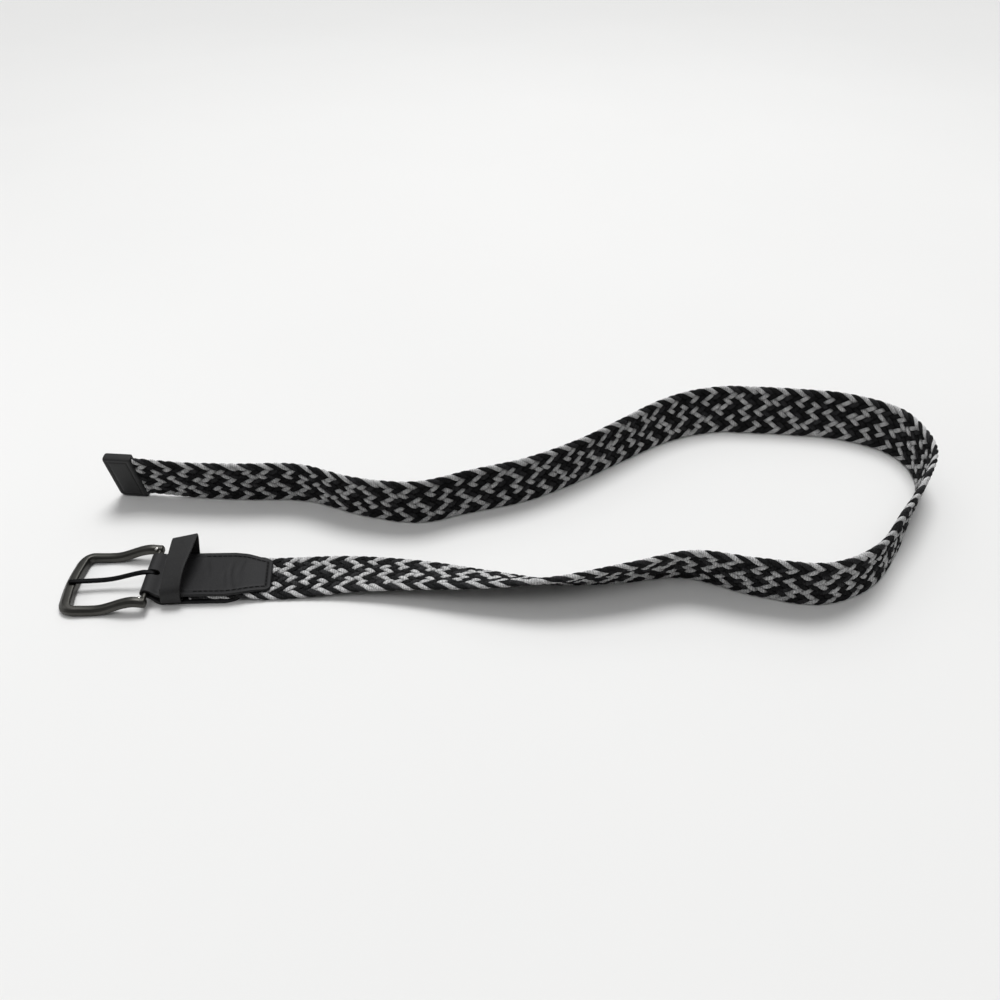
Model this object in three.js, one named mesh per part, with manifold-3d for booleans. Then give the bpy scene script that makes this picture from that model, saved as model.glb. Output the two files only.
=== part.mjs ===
// Elastic stretch belt: a woven elastic strap with a leather tab, a keeper and a pronged buckle at
// one end and a leather cap at the other, lying open on a flat surface, most of it stood on edge.
// Millimetres, +Z up. While it is built, the buckle's bar crosses X = 0, Y = 0, the strap sets out
// along +X, the front edge of the buckle looks along -X and the surface is at Z = 0.
import * as THREE from "three";
import { mergeVertices } from "three/addons/utils/BufferGeometryUtils.js";
import Module from "manifold-3d";

// Clearances
const seatGap = 0.3; // between pieces that touch
const swingGap = 0.35; // between pieces that turn on each other
const cutRoom = 10; // how far a cut runs on past what it is taken from
const sameSpot = 1e-4; // points nearer than this are one

// Fineness
const roundSides = 28;
const cornerSteps = 7;
const lineSamples = 1500;

// Strap
const strapWidth = 35;
const strapThickness = 3.6;
const pressedThickness = 3.2; // where leather holds it
const strapEdge = 1.2; // how far its edges are rounded
const edgeShare = 0.7; // the most that an edge is rounded, of half the thickness
const layLength = 490; // from the bar to the outside of the bend
const layDepth = 143; // from the buckle's line to the back of the far stretch
const settleRun = 18; // how far past the tab the strap comes down to the surface
const stationStep = 7;

// Leather tab
const tabOverhang = 0.3; // how far it stands out past the strap on each side
const tabThickness = 1.9;
const tabTopLength = 69.3; // from the bar to the end of the upper layer
const tabTopTaper = 24;
const tabEndSkew = 2.2; // how far the upper end's corner on the -Y side runs ahead of the other
const tabLowerLength = 53; // from the bar to the end of the lower layer
const tabLowerTaper = 8;
const foldInset = 1.8; // how far it narrows at the fold on each side
const foldThickness = 1.3;
const foldRun = 8.4; // from the bar to where both layers lie flat
const leatherEdge = 0.35;
const slotRoom = 2; // between the prong's ring and the back of its slot
const tabWidth = strapWidth + 2 * tabOverhang;
const tabTop = 2 * (tabThickness + seatGap) + pressedThickness;

// Buckle
const railWidth = 5.2;
const railHeight = 5.2;
const railSpace = 2; // between a rail and the tab's edge
const railTail = 1; // how far the rails run on behind the bar
const railNose = 1.4; // length of their rounded ends
const frameWidth = tabWidth + 2 * (railSpace + railWidth);
const frameReach = 50.6; // from the bar to the outside of the front
const frameBow = 1; // how far the front bows out
const frameCorner = 8.5;
const frameRise = 5.6; // how far the rails rise towards the bar
const frameDip = 0.8; // how far they come down again at the bar
const frontLift = 0.8; // how far the front stands off the surface
const frontWidth = 7.4;
const barRadius = 1.5;
const notchDepth = 0.9;
const prongWidth = 2.8;
const prongHeight = 2;
const prongEdge = 0.5;
const prongWall = 1.3; // of its ring round the bar
const prongShort = 3; // from its tip to the outside of the front
const prongOffset = 0.3; // from the middle of the tab to the prong, towards -Y
const prongLean = 1.8; // how far its tip leans further towards -Y
const prongReach = frameReach - prongShort;
const ringRadius = barRadius + swingGap + prongWall;

// Keeper
const keeperThickness = 1.5;
const keeperWidth = 11.4; // on its -Y side
const keeperFarWidth = 15; // on its +Y side
const keeperSetback = foldRun + seatGap; // from the bar
const keeperRoom = 16.4; // from the tab to the keeper's top
const keeperLean = 2; // how far its top leans back towards the strap
const keeperCant = 3.2; // how much higher its back edge stands than its front edge
const keeperFoot = 1.8; // radius of its lower corners

// End cap
const capSide = 0.9; // leather past the strap's edges
const capWall = 1.1;
const capRim = 2.6; // leather past the strap's end
const capLength = 18.6;
const capEdge = 0.6;
const capUpperCorner = 2.2;
const capLowerCorner = 4.5;
const capRun = 40; // length over which the strap lifts and thins into the cap
const capWidth = strapWidth + 2 * (seatGap + capSide);

// How the belt lies, from the bar to the mouth of the cap. along and across are shares of
// layLength and layDepth, and roll is how far the edge on the -Y side has turned up, in degrees.
const lay = [
  { along: 0.0, across: 0.0, roll: 0 },
  { along: 0.05, across: 0.0, roll: 0 },
  { along: 0.1, across: -0.005, roll: 0 },
  { along: 0.15, across: -0.005, roll: 0 },
  { along: 0.19, across: -0.005, roll: 2 },
  { along: 0.235, across: -0.01, roll: 7 },
  { along: 0.315, across: -0.05, roll: 16 },
  { along: 0.395, across: -0.115, roll: 29 },
  { along: 0.475, across: -0.165, roll: 46 },
  { along: 0.555, across: -0.155, roll: 59 },
  { along: 0.635, across: -0.125, roll: 67 },
  { along: 0.71, across: -0.22, roll: 78 },
  { along: 0.785, across: -0.275, roll: 85 },
  { along: 0.85, across: -0.19, roll: 91 },
  { along: 0.905, across: 0.01, roll: 93 },
  { along: 0.955, across: 0.24, roll: 83 },
  { along: 0.995, across: 0.45, roll: 86 },
  { along: 1.0, across: 0.625, roll: 88 },
  { along: 0.985, across: 0.765, roll: 82 },
  { along: 0.93, across: 0.895, roll: 78 },
  { along: 0.86, across: 0.955, roll: 76 },
  { along: 0.79, across: 0.99, roll: 76 },
  { along: 0.76, across: 1.0, roll: 77 },
  { along: 0.71, across: 0.97, roll: 79 },
  { along: 0.66, across: 0.895, roll: 82 },
  { along: 0.595, across: 0.745, roll: 87 },
  { along: 0.53, across: 0.595, roll: 90 },
  { along: 0.46, across: 0.47, roll: 90 },
  { along: 0.385, across: 0.395, roll: 92 },
  { along: 0.315, across: 0.33, roll: 95 },
  { along: 0.24, across: 0.385, roll: 100 },
  { along: 0.165, across: 0.5, roll: 101 },
  { along: 0.08, across: 0.525, roll: 103 },
  { along: 0.0, across: 0.555, roll: 104 },
  { along: -0.05, across: 0.58, roll: 104 },
];

// The rails' and the front's sections: out is a share of the width from the outer face inwards,
// and up a share of the height.
const railSection = [
  { out: 0, up: 0.15 },
  { out: 0.12, up: 0 },
  { out: 0.88, up: 0 },
  { out: 1, up: 0.12 },
  { out: 1, up: 0.7 },
  { out: 0.78, up: 1 },
  { out: 0.25, up: 1 },
  { out: 0, up: 0.6 },
];
const frontSection = [
  { out: 0, up: 0.12 },
  { out: 0.06, up: 0 },
  { out: 0.94, up: 0 },
  { out: 1, up: 0.1 },
  { out: 1, up: 0.8 },
  { out: 0.9, up: 1 },
  { out: 0.38, up: 1 },
  { out: 0, up: 0.4 },
];

// Where the rails rise towards the bar and towards the front, as shares of frameReach
const railProfile = { riseStart: 0.56, riseEnd: 0.1, frontStart: 0.58, frontEnd: 0.94 };

// The prong's line from its ring to its tip: ahead is a share of prongReach, and rise a share of
// the height from where it lies in the notch to the top of its ring.
const prongLine = [
  { ahead: 0.0, rise: 1.1 },
  { ahead: 0.09, rise: 1.22 },
  { ahead: 0.18, rise: 1.0 },
  { ahead: 0.3, rise: 0.6 },
  { ahead: 0.42, rise: 0.2 },
  { ahead: 0.55, rise: -0.03 },
  { ahead: 0.7, rise: -0.06 },
  { ahead: 0.84, rise: 0.0 },
  { ahead: 0.95, rise: 0.03 },
  { ahead: 1.0, rise: -0.03 },
];

// The tapered ends of the tab's two layers: back is a share of the taper's length, and half a
// share of the tab's half width.
const topTaper = [
  { back: 0, half: 1 },
  { back: 0.3, half: 0.94 },
  { back: 0.7, half: 0.79 },
  { back: 0.86, half: 0.75 },
  { back: 0.95, half: 0.69 },
  { back: 1, half: 0.58 },
];
const lowerTaper = [
  { back: 0, half: 1 },
  { back: 0.6, half: 0.92 },
  { back: 0.85, half: 0.82 },
  { back: 1, half: 0.66 },
];

// The keeper's upper corners: across is a share of its half width, and up and round are shares of
// its height.
const keeperArch = [
  { across: 1.02, up: 1, round: 0.13 },
  { across: -0.55, up: 0.82, round: 0.33 },
  { across: -1, up: 0.52, round: 0.14 },
];

const finishes = {
  weave: { color: 0x232327, roughness: 0.9, metalness: 0 },
  leather: { color: 0x19191b, roughness: 0.55, metalness: 0 },
  gunmetal: { color: 0x4a4a4b, roughness: 0.3, metalness: 0.9 },
  blackSteel: { color: 0x151517, roughness: 0.35, metalness: 0.8 },
};

const wasm = await Module();
wasm.setup();

const { clamp, degToRad, lerp, smoothstep } = THREE.MathUtils;
const upward = new THREE.Vector3(0, 0, 1);

// A closed mesh as a solid that can be cut and joined
function solidOf(geometry) {
  const plain = geometry.index ? geometry.toNonIndexed() : geometry.clone();
  plain.deleteAttribute("normal");
  plain.deleteAttribute("uv");
  const merged = mergeVertices(plain, sameSpot);
  const mesh = new wasm.Mesh({
    numProp: 3,
    vertProperties: merged.attributes.position.array,
    triVerts: new Uint32Array(merged.index.array),
  });
  return new wasm.Manifold(mesh);
}

// A solid as a mesh geometry
function geometryOf(solid) {
  const { vertProperties, triVerts } = solid.getMesh();
  const geometry = new THREE.BufferGeometry();
  geometry.setAttribute("position", new THREE.BufferAttribute(new Float32Array(vertProperties), 3));
  geometry.setIndex(Array.from(triVerts));
  return geometry;
}

// Six times the volume that a list of triangles holds, negative where they face inwards
function signedVolume(points, faces) {
  let sum = 0;
  for (let i = 0; i < faces.length; i += 3) {
    const [a, b, c] = [points[faces[i]], points[faces[i + 1]], points[faces[i + 2]]];
    sum += a.dot(new THREE.Vector3().crossVectors(b, c));
  }
  return sum;
}

// A skin over rings of points, closed flat at its ends, or back onto its first ring if it is a loop
function loft(rings, isLoop = false) {
  const count = rings[0].length;
  const points = rings.flat();
  const faces = [];
  const spans = isLoop ? rings.length : rings.length - 1;
  for (let i = 0; i < spans; i += 1) {
    const here = i * count;
    const next = ((i + 1) % rings.length) * count;
    for (let j = 0; j < count; j += 1) {
      const k = (j + 1) % count;
      faces.push(here + j, here + k, next + k, here + j, next + k, next + j);
    }
  }
  const last = (rings.length - 1) * count;
  for (let j = 1; j < count - 1 && !isLoop; j += 1) {
    faces.push(0, j + 1, j, last, last + j, last + j + 1);
  }
  if (signedVolume(points, faces) < 0) faces.reverse();
  const geometry = new THREE.BufferGeometry().setFromPoints(points);
  geometry.setIndex(faces);
  return geometry;
}

// An octagon of a band's section: across its width, and out from its middle face
function bandSection(halfWidth, halfThickness, edge) {
  const rise = Math.min(edge, halfThickness * edgeShare);
  return [
    [halfWidth, rise - halfThickness],
    [halfWidth, halfThickness - rise],
    [halfWidth - edge, halfThickness],
    [edge - halfWidth, halfThickness],
    [-halfWidth, halfThickness - rise],
    [-halfWidth, rise - halfThickness],
    [edge - halfWidth, -halfThickness],
    [halfWidth - edge, -halfThickness],
  ];
}

// A section's points round a centre
function ringAt(centre, side, face, section) {
  return section.map(([across, out]) =>
    centre.clone().addScaledVector(side, across).addScaledVector(face, out),
  );
}

// A closed outline with rounded corners, each { x, y, radius }
function roundedShape(corners) {
  const shape = new THREE.Shape();
  corners.forEach((corner, i) => {
    const at = new THREE.Vector2(corner.x, corner.y);
    const before = corners.at(i - 1);
    const after = corners[(i + 1) % corners.length];
    const start = new THREE.Vector2(before.x, before.y).sub(at).setLength(corner.radius).add(at);
    const end = new THREE.Vector2(after.x, after.y).sub(at).setLength(corner.radius).add(at);
    if (i === 0) shape.moveTo(start.x, start.y);
    else shape.lineTo(start.x, start.y);
    shape.quadraticCurveTo(at.x, at.y, end.x, end.y);
  });
  shape.closePath();
  return shape;
}

// A value read from a table's column by a share in its first column
function readTable(rows, key, column, share) {
  const at = rows.findIndex((row) => row[key] >= share);
  if (at === 0) return rows[0][column];
  if (at < 0) return rows.at(-1)[column];
  const [low, high] = [rows[at - 1], rows[at]];
  return lerp(low[column], high[column], (share - low[key]) / (high[key] - low[key]));
}

// The belt line, with the roll carried as a small third coordinate
const rollScale = 100;
const beltLine = new THREE.CatmullRomCurve3(
  lay.map(
    ({ along, across, roll }) =>
      new THREE.Vector3(along * layLength, across * layDepth, roll / rollScale),
  ),
);
beltLine.arcLengthDivisions = lineSamples;
const beltLength = beltLine.getLength();

// A place on the belt line: its point, the way ahead, the side of the -Y edge and the front face
function spotAt(distance) {
  const share = clamp(distance / beltLength, 0, 1);
  const at = beltLine.getPointAt(share);
  const roll = degToRad(at.z * rollScale);
  const ahead = beltLine.getTangentAt(share).setZ(0).normalize();
  const point = at.clone().setZ(0);
  point.addScaledVector(ahead, distance - share * beltLength);
  const side = new THREE.Vector3().crossVectors(ahead, upward).multiplyScalar(Math.cos(roll));
  side.addScaledVector(upward, Math.sin(roll));
  const face = new THREE.Vector3().crossVectors(side, ahead);
  return { point, ahead, side, face };
}

// How far a section reaches below its centre
function depthOf({ side, face }, section) {
  return -Math.min(...section.map(([across, out]) => side.z * across + face.z * out));
}

const strapStart = keeperSetback + keeperFarWidth + seatGap;
const strapEnd = beltLength + capLength - capRim - seatGap;
const capHalf = pressedThickness / 2 + seatGap + capWall;
const pressedSection = bandSection(strapWidth / 2, pressedThickness / 2, strapEdge);
const capSection = bandSection(capWidth / 2, capHalf, capEdge);
const capSpot = spotAt(beltLength);
const capLift = depthOf(capSpot, capSection) - depthOf(capSpot, pressedSection);

// The strap's thickness, lift above the surface, section and centre at a distance from the bar
function strapAt(distance) {
  const spot = spotAt(distance);
  const clearOfTab = smoothstep(distance, tabLowerLength, tabTopLength + settleRun);
  const clearOfCap = 1 - smoothstep(distance, beltLength - capRun, beltLength);
  const thickness = lerp(pressedThickness, strapThickness, Math.min(clearOfTab, clearOfCap));
  const offTab = smoothstep(distance, tabLowerLength, tabLowerLength + settleRun);
  const lift = (1 - offTab) * (tabThickness + seatGap) + (1 - clearOfCap) * capLift;
  const section = bandSection(strapWidth / 2, thickness / 2, strapEdge);
  const centre = spot.point.clone().setZ(lift + depthOf(spot, section));
  return { ...spot, centre, section, thickness };
}

// The woven band from inside the tab to inside the cap
function strapGeometry() {
  const steps = Math.ceil((strapEnd - strapStart) / stationStep);
  const rings = [];
  for (let i = 0; i <= steps; i += 1) {
    const { centre, side, face, section } = strapAt(lerp(strapStart, strapEnd, i / steps));
    rings.push(ringAt(centre, side, face, section));
  }
  return loft(rings);
}

// Height of the rails' underside at a place ahead of the bar
function railLift(ahead) {
  const { riseStart, riseEnd, frontStart, frontEnd } = railProfile;
  const rise = 1 - smoothstep(ahead, riseEnd * frameReach, riseStart * frameReach);
  const dip = 1 - smoothstep(ahead, -railTail, riseEnd * frameReach);
  const front = smoothstep(ahead, frontStart * frameReach, frontEnd * frameReach);
  return frameRise * rise - frameDip * dip + frontLift * front;
}

const barHeight = railLift(0) + railHeight / 2;
const notchFloor = frontLift + railHeight - notchDepth;
const prongRest = notchFloor + seatGap + prongHeight / 2;

// The U of both rails and the front, swept along its outer side
function frameRings() {
  const half = frameWidth / 2 - railWidth / 2;
  const reach = frameReach - railWidth / 2 - frameBow;
  const line = new THREE.Path();
  line.moveTo(railTail, -half);
  line.lineTo(frameCorner - reach, -half);
  line.quadraticCurveTo(-reach, -half, -reach, frameCorner - half);
  line.quadraticCurveTo(-reach - frameBow * 2, 0, -reach, half - frameCorner);
  line.quadraticCurveTo(-reach, half, frameCorner - reach, half);
  line.lineTo(railTail, half);
  const steps = 84;
  const rings = [];
  const addRing = (share, past, scale) => {
    const at = line.getPointAt(share);
    const along = line.getTangentAt(share);
    const point = at.clone().addScaledVector(along, past);
    const front = smoothstep(-point.x, reach - frontWidth, reach);
    const width = lerp(railWidth, frontWidth, front) * scale;
    const floor = railLift(-point.x) + (railHeight * (1 - scale)) / 2;
    const outer = new THREE.Vector2(-along.y, along.x);
    rings.push(
      railSection.map(({ out, up }, k) => {
        const inward = lerp(out, frontSection[k].out, front) * width;
        const edge = (railWidth / 2) * scale - inward;
        const height = lerp(up, frontSection[k].up, front) * railHeight * scale;
        const place = point.clone().addScaledVector(outer, edge);
        return new THREE.Vector3(place.x, place.y, floor + height);
      }),
    );
  };
  const noseRings = [0.96, 0.75, 0.45];
  noseRings.forEach((q) => addRing(0, -q * railNose, Math.sqrt(1 - q * q)));
  for (let i = 0; i <= steps; i += 1) addRing(i / steps, 0, 1);
  noseRings.toReversed().forEach((q) => addRing(1, q * railNose, Math.sqrt(1 - q * q)));
  return rings;
}

// The frame with its bar, and the notch that the prong rests in
function frameGeometry() {
  const barLength = frameWidth - railWidth;
  const bar = new THREE.CylinderGeometry(barRadius, barRadius, barLength, roundSides);
  bar.translate(0, 0, barHeight);
  const notchRun = frontWidth + 2 * cutRoom;
  const notchHeight = notchDepth + cutRoom;
  const notch = new THREE.BoxGeometry(notchRun, prongWidth + 2 * swingGap, notchHeight);
  const lean = prongLean / prongReach;
  notch.rotateZ(Math.atan(lean));
  notch.translate(-frameReach, -prongOffset - lean * frameReach, notchFloor + notchHeight / 2);
  return geometryOf(solidOf(loft(frameRings())).add(solidOf(bar)).subtract(solidOf(notch)));
}

// The prong: a ring round the bar and an arm that follows the rails' rise to the notch
function prongGeometry() {
  const disc = new THREE.CylinderGeometry(ringRadius, ringRadius, prongWidth, roundSides);
  const bore = barRadius + swingGap;
  const hole = new THREE.CylinderGeometry(bore, bore, prongWidth + 2 * cutRoom, roundSides);
  disc.translate(0, 0, barHeight);
  hole.translate(0, 0, barHeight);
  const ringTop = barHeight + ringRadius - prongHeight / 2;
  const arm = new THREE.CatmullRomCurve3(
    prongLine.map(({ ahead, rise }) => {
      const height = lerp(prongRest, ringTop, rise);
      return new THREE.Vector3(-ahead * prongReach, -ahead * prongLean, height);
    }),
  );
  const steps = 30;
  const tipSize = 0.7;
  const rings = [];
  for (let i = 0; i <= steps; i += 1) {
    const share = i / steps;
    const centre = arm.getPointAt(share);
    const ahead = arm.getTangentAt(share);
    const side = new THREE.Vector3().crossVectors(ahead, upward).normalize();
    const face = new THREE.Vector3().crossVectors(side, ahead);
    const section = bandSection(prongWidth / 2, prongHeight / 2, prongEdge);
    const size = i === steps ? tipSize : 1;
    const sized = section.map(([across, out]) => [across * size, out * size]);
    rings.push(ringAt(centre, side, face, sized));
  }
  const prong = solidOf(disc).add(solidOf(loft(rings))).subtract(solidOf(hole));
  return geometryOf(prong).translate(0, -prongOffset, 0);
}

// Half the tab's width at a distance from the bar, on its upper or its lower layer
function tabHalfWidth(distance, length, taperLength, taper) {
  const fold = tabWidth / 2 - foldInset * (1 - smoothstep(distance, 0, foldRun));
  const back = (distance - (length - taperLength)) / taperLength;
  return fold * readTable(taper, "back", "half", back);
}

// The prong's slot: open towards the front of the fold and round at its back
function slotSolid() {
  const half = prongWidth / 2 + 2 * swingGap;
  const tall = barHeight + 2 * cutRoom;
  const front = -ringRadius - cutRoom;
  const back = ringRadius + slotRoom - half;
  const slot = new THREE.BoxGeometry(back - front, half * 2, tall);
  slot.translate((front + back) / 2, -prongOffset, barHeight);
  const end = new THREE.CylinderGeometry(half, half, tall, roundSides);
  end.rotateX(Math.PI / 2).translate(back, -prongOffset, barHeight);
  return solidOf(slot).add(solidOf(end));
}

// One strip of leather from the end of the lower layer, round the bar, to the tapered upper end
function tabGeometry() {
  const places = [];
  const flatLow = tabThickness / 2;
  const foldOut = barRadius + swingGap + foldThickness / 2;
  const upperHeight = (distance) => {
    const { centre, thickness } = strapAt(distance);
    return centre.z + thickness / 2 + seatGap + tabThickness / 2;
  };
  const lowerSteps = [1, 0.97, 0.94, 0.89, 0.84, 0.6, 0.35];
  for (const share of lowerSteps) places.push({ distance: tabLowerLength * share, z: flatLow });
  const turnSteps = 8;
  for (let i = turnSteps; i > 0; i -= 1) {
    const bend = smoothstep(i / turnSteps, 0, 1);
    places.push({ distance: (foldRun * i) / turnSteps, z: lerp(barHeight - foldOut, flatLow, bend) });
  }
  const arcSteps = 12;
  for (let i = 0; i <= arcSteps; i += 1) {
    const angle = (Math.PI * i) / arcSteps;
    const z = barHeight - foldOut * Math.cos(angle);
    places.push({ distance: -foldOut * Math.sin(angle), z });
  }
  for (let i = 1; i <= turnSteps; i += 1) {
    const bend = smoothstep(i / turnSteps, 0, 1);
    const z = lerp(barHeight + foldOut, upperHeight(foldRun), bend);
    places.push({ distance: (foldRun * i) / turnSteps, z });
  }
  const flatSteps = 8;
  const taperStart = tabTopLength - tabTopTaper;
  for (let i = 1; i <= flatSteps; i += 1) {
    const distance = lerp(foldRun, taperStart, i / flatSteps);
    places.push({ distance, z: upperHeight(distance), isUpper: true });
  }
  const taperSteps = 14;
  for (let i = 1; i <= taperSteps; i += 1) {
    const distance = lerp(taperStart, tabTopLength, Math.sqrt(i / taperSteps));
    places.push({ distance, z: upperHeight(distance), isUpper: true });
  }
  const rings = places.map(({ distance, z, isUpper }, i) => {
    const before = places[Math.max(i - 1, 0)];
    const after = places[Math.min(i + 1, places.length - 1)];
    const { point, ahead, side, face } = spotAt(distance);
    const isTop = i > places.length / 2;
    const half = isTop
      ? tabHalfWidth(distance, tabTopLength, tabTopTaper, topTaper)
      : tabHalfWidth(distance, tabLowerLength, tabLowerTaper, lowerTaper);
    const flat = smoothstep(distance, 0, foldRun);
    const thickness = lerp(foldThickness, tabThickness, flat);
    const section = bandSection(half, thickness / 2, leatherEdge);
    if (isUpper) {
      const share = smoothstep(distance, tabTopLength - tabTopTaper, tabTopLength);
      const skewed = side.clone().addScaledVector(ahead, (share * tabEndSkew) / tabWidth);
      return ringAt(point.setZ(z), skewed, face, section);
    }
    const run = ahead.clone().multiplyScalar(after.distance - before.distance);
    run.addScaledVector(upward, after.z - before.z).normalize();
    const across = new THREE.Vector3().crossVectors(ahead, upward);
    const out = new THREE.Vector3().crossVectors(across, run);
    return ringAt(point.setZ(z), across, out, section);
  });
  return geometryOf(solidOf(loft(rings)).subtract(slotSolid()));
}

// The keeper: a closed band of leather that stands up over the tab and passes between its layers
function keeperGeometry() {
  const half = tabWidth / 2 + seatGap + keeperThickness / 2;
  const low = tabThickness + seatGap + keeperThickness / 2;
  const high = tabTop + keeperRoom - keeperThickness / 2 - keeperCant / 2;
  const arch = keeperArch.map(({ across, up, round }) => {
    return { x: across * half, y: up * high, radius: round * high };
  });
  const outline = roundedShape([
    { x: -half, y: low, radius: keeperFoot },
    { x: half, y: low, radius: keeperFoot },
    ...arch,
  ]);
  const middle = outline.getPoints(cornerSteps);
  if (middle[0].distanceTo(middle.at(-1)) < sameSpot) middle.pop();
  const rings = middle.map((point, i) => {
    const before = middle.at(i - 1);
    const after = middle[(i + 1) % middle.length];
    const run = after.clone().sub(before).normalize();
    const out = new THREE.Vector3(0, run.y, -run.x);
    const width = lerp(keeperWidth, keeperFarWidth, smoothstep(point.x, -half, half));
    const raised = smoothstep(point.y, low, high);
    const along = keeperSetback + width / 2 + keeperLean * raised;
    const centre = new THREE.Vector3(along, point.x, point.y);
    const cant = (keeperCant / keeperFarWidth) * raised;
    const side = new THREE.Vector3(1, 0, cant);
    return ringAt(centre, side, out, bandSection(width / 2, keeperThickness / 2, leatherEdge));
  });
  return loft(rings, true);
}

// The cap: an envelope of leather over the strap's end
function capGeometry() {
  const half = capWidth / 2 - capEdge;
  const outline = roundedShape([
    { x: capEdge, y: -half, radius: capEdge },
    { x: capLength - capEdge, y: -half, radius: capLowerCorner },
    { x: capLength - capEdge, y: half, radius: capUpperCorner },
    { x: capEdge, y: half, radius: capEdge },
  ]);
  const envelope = new THREE.ExtrudeGeometry(outline, {
    depth: 2 * (capHalf - capEdge),
    bevelThickness: capEdge,
    bevelSize: capEdge,
    bevelSegments: 2,
    curveSegments: 8,
  });
  envelope.translate(0, 0, capEdge - capHalf);
  const depth = pressedThickness + 2 * seatGap;
  const run = capLength - capRim + cutRoom;
  const inside = new THREE.BoxGeometry(run, strapWidth + 2 * seatGap, depth);
  inside.translate(run / 2 - cutRoom, 0, 0);
  const { ahead, side, face } = capSpot;
  const { centre } = strapAt(beltLength);
  const place = new THREE.Matrix4().makeBasis(ahead, side, face.clone().negate());
  place.setPosition(centre);
  const cap = solidOf(envelope).subtract(solidOf(inside));
  return geometryOf(cap).applyMatrix4(place);
}

function pieceOf(name, geometry, finish) {
  const flat = geometry.toNonIndexed();
  flat.computeVertexNormals();
  const mesh = new THREE.Mesh(flat, new THREE.MeshStandardMaterial(finishes[finish]));
  mesh.name = name;
  return mesh;
}

const belt = new THREE.Group();
belt.add(
  pieceOf("strap", strapGeometry(), "weave"),
  pieceOf("tab", tabGeometry(), "leather"),
  pieceOf("keeper", keeperGeometry(), "leather"),
  pieceOf("end_cap", capGeometry(), "leather"),
  pieceOf("buckle_frame", frameGeometry(), "gunmetal"),
  pieceOf("prong", prongGeometry(), "blackSteel"),
);

// The finished part's origin is the middle of its footprint, on the surface
const bounds = new THREE.Box3().setFromObject(belt);
const middle = bounds.getCenter(new THREE.Vector3());
belt.children.forEach((piece) => piece.position.set(-middle.x, -middle.y, -bounds.min.z));

export default belt;
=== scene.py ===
"""Dresses the elastic stretch belt: braided strap, leather tab, keeper and cap, buckle and prong.

Sizes are in millimetres from the middle of the buckle's bar, with the strap setting out along +X,
and every piece is set into the part's own frame, in metres, as its mesh is made.
"""

import logging
import math
from dataclasses import dataclass, field
from enum import Enum
from typing import Sequence, Union

import bpy
import numpy as np
from mathutils import Matrix


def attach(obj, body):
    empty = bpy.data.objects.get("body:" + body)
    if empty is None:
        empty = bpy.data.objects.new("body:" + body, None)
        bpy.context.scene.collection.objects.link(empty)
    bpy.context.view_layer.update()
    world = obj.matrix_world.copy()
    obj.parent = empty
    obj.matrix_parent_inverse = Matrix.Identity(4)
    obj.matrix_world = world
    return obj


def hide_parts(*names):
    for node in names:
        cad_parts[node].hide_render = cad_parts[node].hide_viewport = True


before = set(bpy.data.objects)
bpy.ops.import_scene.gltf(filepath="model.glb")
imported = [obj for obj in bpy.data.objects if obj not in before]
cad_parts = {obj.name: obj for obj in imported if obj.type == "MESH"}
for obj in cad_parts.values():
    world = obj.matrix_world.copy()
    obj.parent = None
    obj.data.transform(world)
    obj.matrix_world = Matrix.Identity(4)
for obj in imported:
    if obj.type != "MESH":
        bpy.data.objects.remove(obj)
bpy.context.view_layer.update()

log = logging.getLogger("belt")

BAR_PLACE = np.array([-221.083, -52.755, 0.0])
METRE = 0.001
THREAD_SIDES = 8
UP = np.array([0.0, 0.0, 1.0])


def smooth(value: np.ndarray, low: float, high: float) -> np.ndarray:
    """Runs from 0 at low to 1 at high with level ends.

    Args:
        value: the places to read it at.
        low: where it leaves 0.
        high: where it reaches 1.

    Returns:
        The eased shares.
    """
    share = np.clip((np.asarray(value, float) - low) / (high - low), 0.0, 1.0)
    return share * share * (3.0 - 2.0 * share)


def unit(vectors: np.ndarray) -> np.ndarray:
    """The same vectors at length 1."""
    return vectors / np.maximum(np.linalg.norm(vectors, axis=-1, keepdims=True), 1e-12)


def spline(points: np.ndarray, fineness: int) -> np.ndarray:
    """A centripetal curve through points.

    Args:
        points: the places it passes, one a row.
        fineness: how many steps it takes between two of them.

    Returns:
        The places along it, one a row.
    """
    ends = (2 * points[:1] - points[1:2], 2 * points[-1:] - points[-2:-1])
    held = np.concatenate([ends[0], points, ends[1]])
    gaps = np.maximum(np.linalg.norm(np.diff(held, axis=0), axis=1) ** 0.5, 1e-4)
    rows = []
    for i in range(1, len(held) - 2):
        before, here, after, beyond = held[i - 1 : i + 3]
        first, middle, last = gaps[i - 1 : i + 2]
        leave = (here - before) / first - (after - before) / (first + middle)
        leave = (leave + (after - here) / middle) * middle
        arrive = (after - here) / middle - (beyond - here) / (middle + last)
        arrive = (arrive + (beyond - after) / last) * middle
        final = i == len(held) - 3
        share = np.linspace(0.0, 1.0, fineness + 1)[: fineness + 1 if final else fineness, None]
        bend = 3 * (after - here) - 2 * leave - arrive
        twist = 2 * (here - after) + leave + arrive
        rows.append(here + leave * share + bend * share**2 + twist * share**3)
    return np.concatenate(rows)


def lengths(points: np.ndarray) -> np.ndarray:
    """How far along a line each of its points is."""
    return np.concatenate([[0.0], np.cumsum(np.linalg.norm(np.diff(points, axis=0), axis=1))])


def read_line(points: np.ndarray, distances: np.ndarray) -> np.ndarray:
    """The places on a line at some distances from its start."""
    run = lengths(points)
    return np.stack([np.interp(distances, run, points[:, k]) for k in range(points.shape[1])], 1)


# The shared line of the belt


@dataclass(frozen=True)
class Places:
    """Where a row of stations on the belt line are and how they are turned."""

    point: np.ndarray
    ahead: np.ndarray
    side: np.ndarray
    face: np.ndarray


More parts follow.
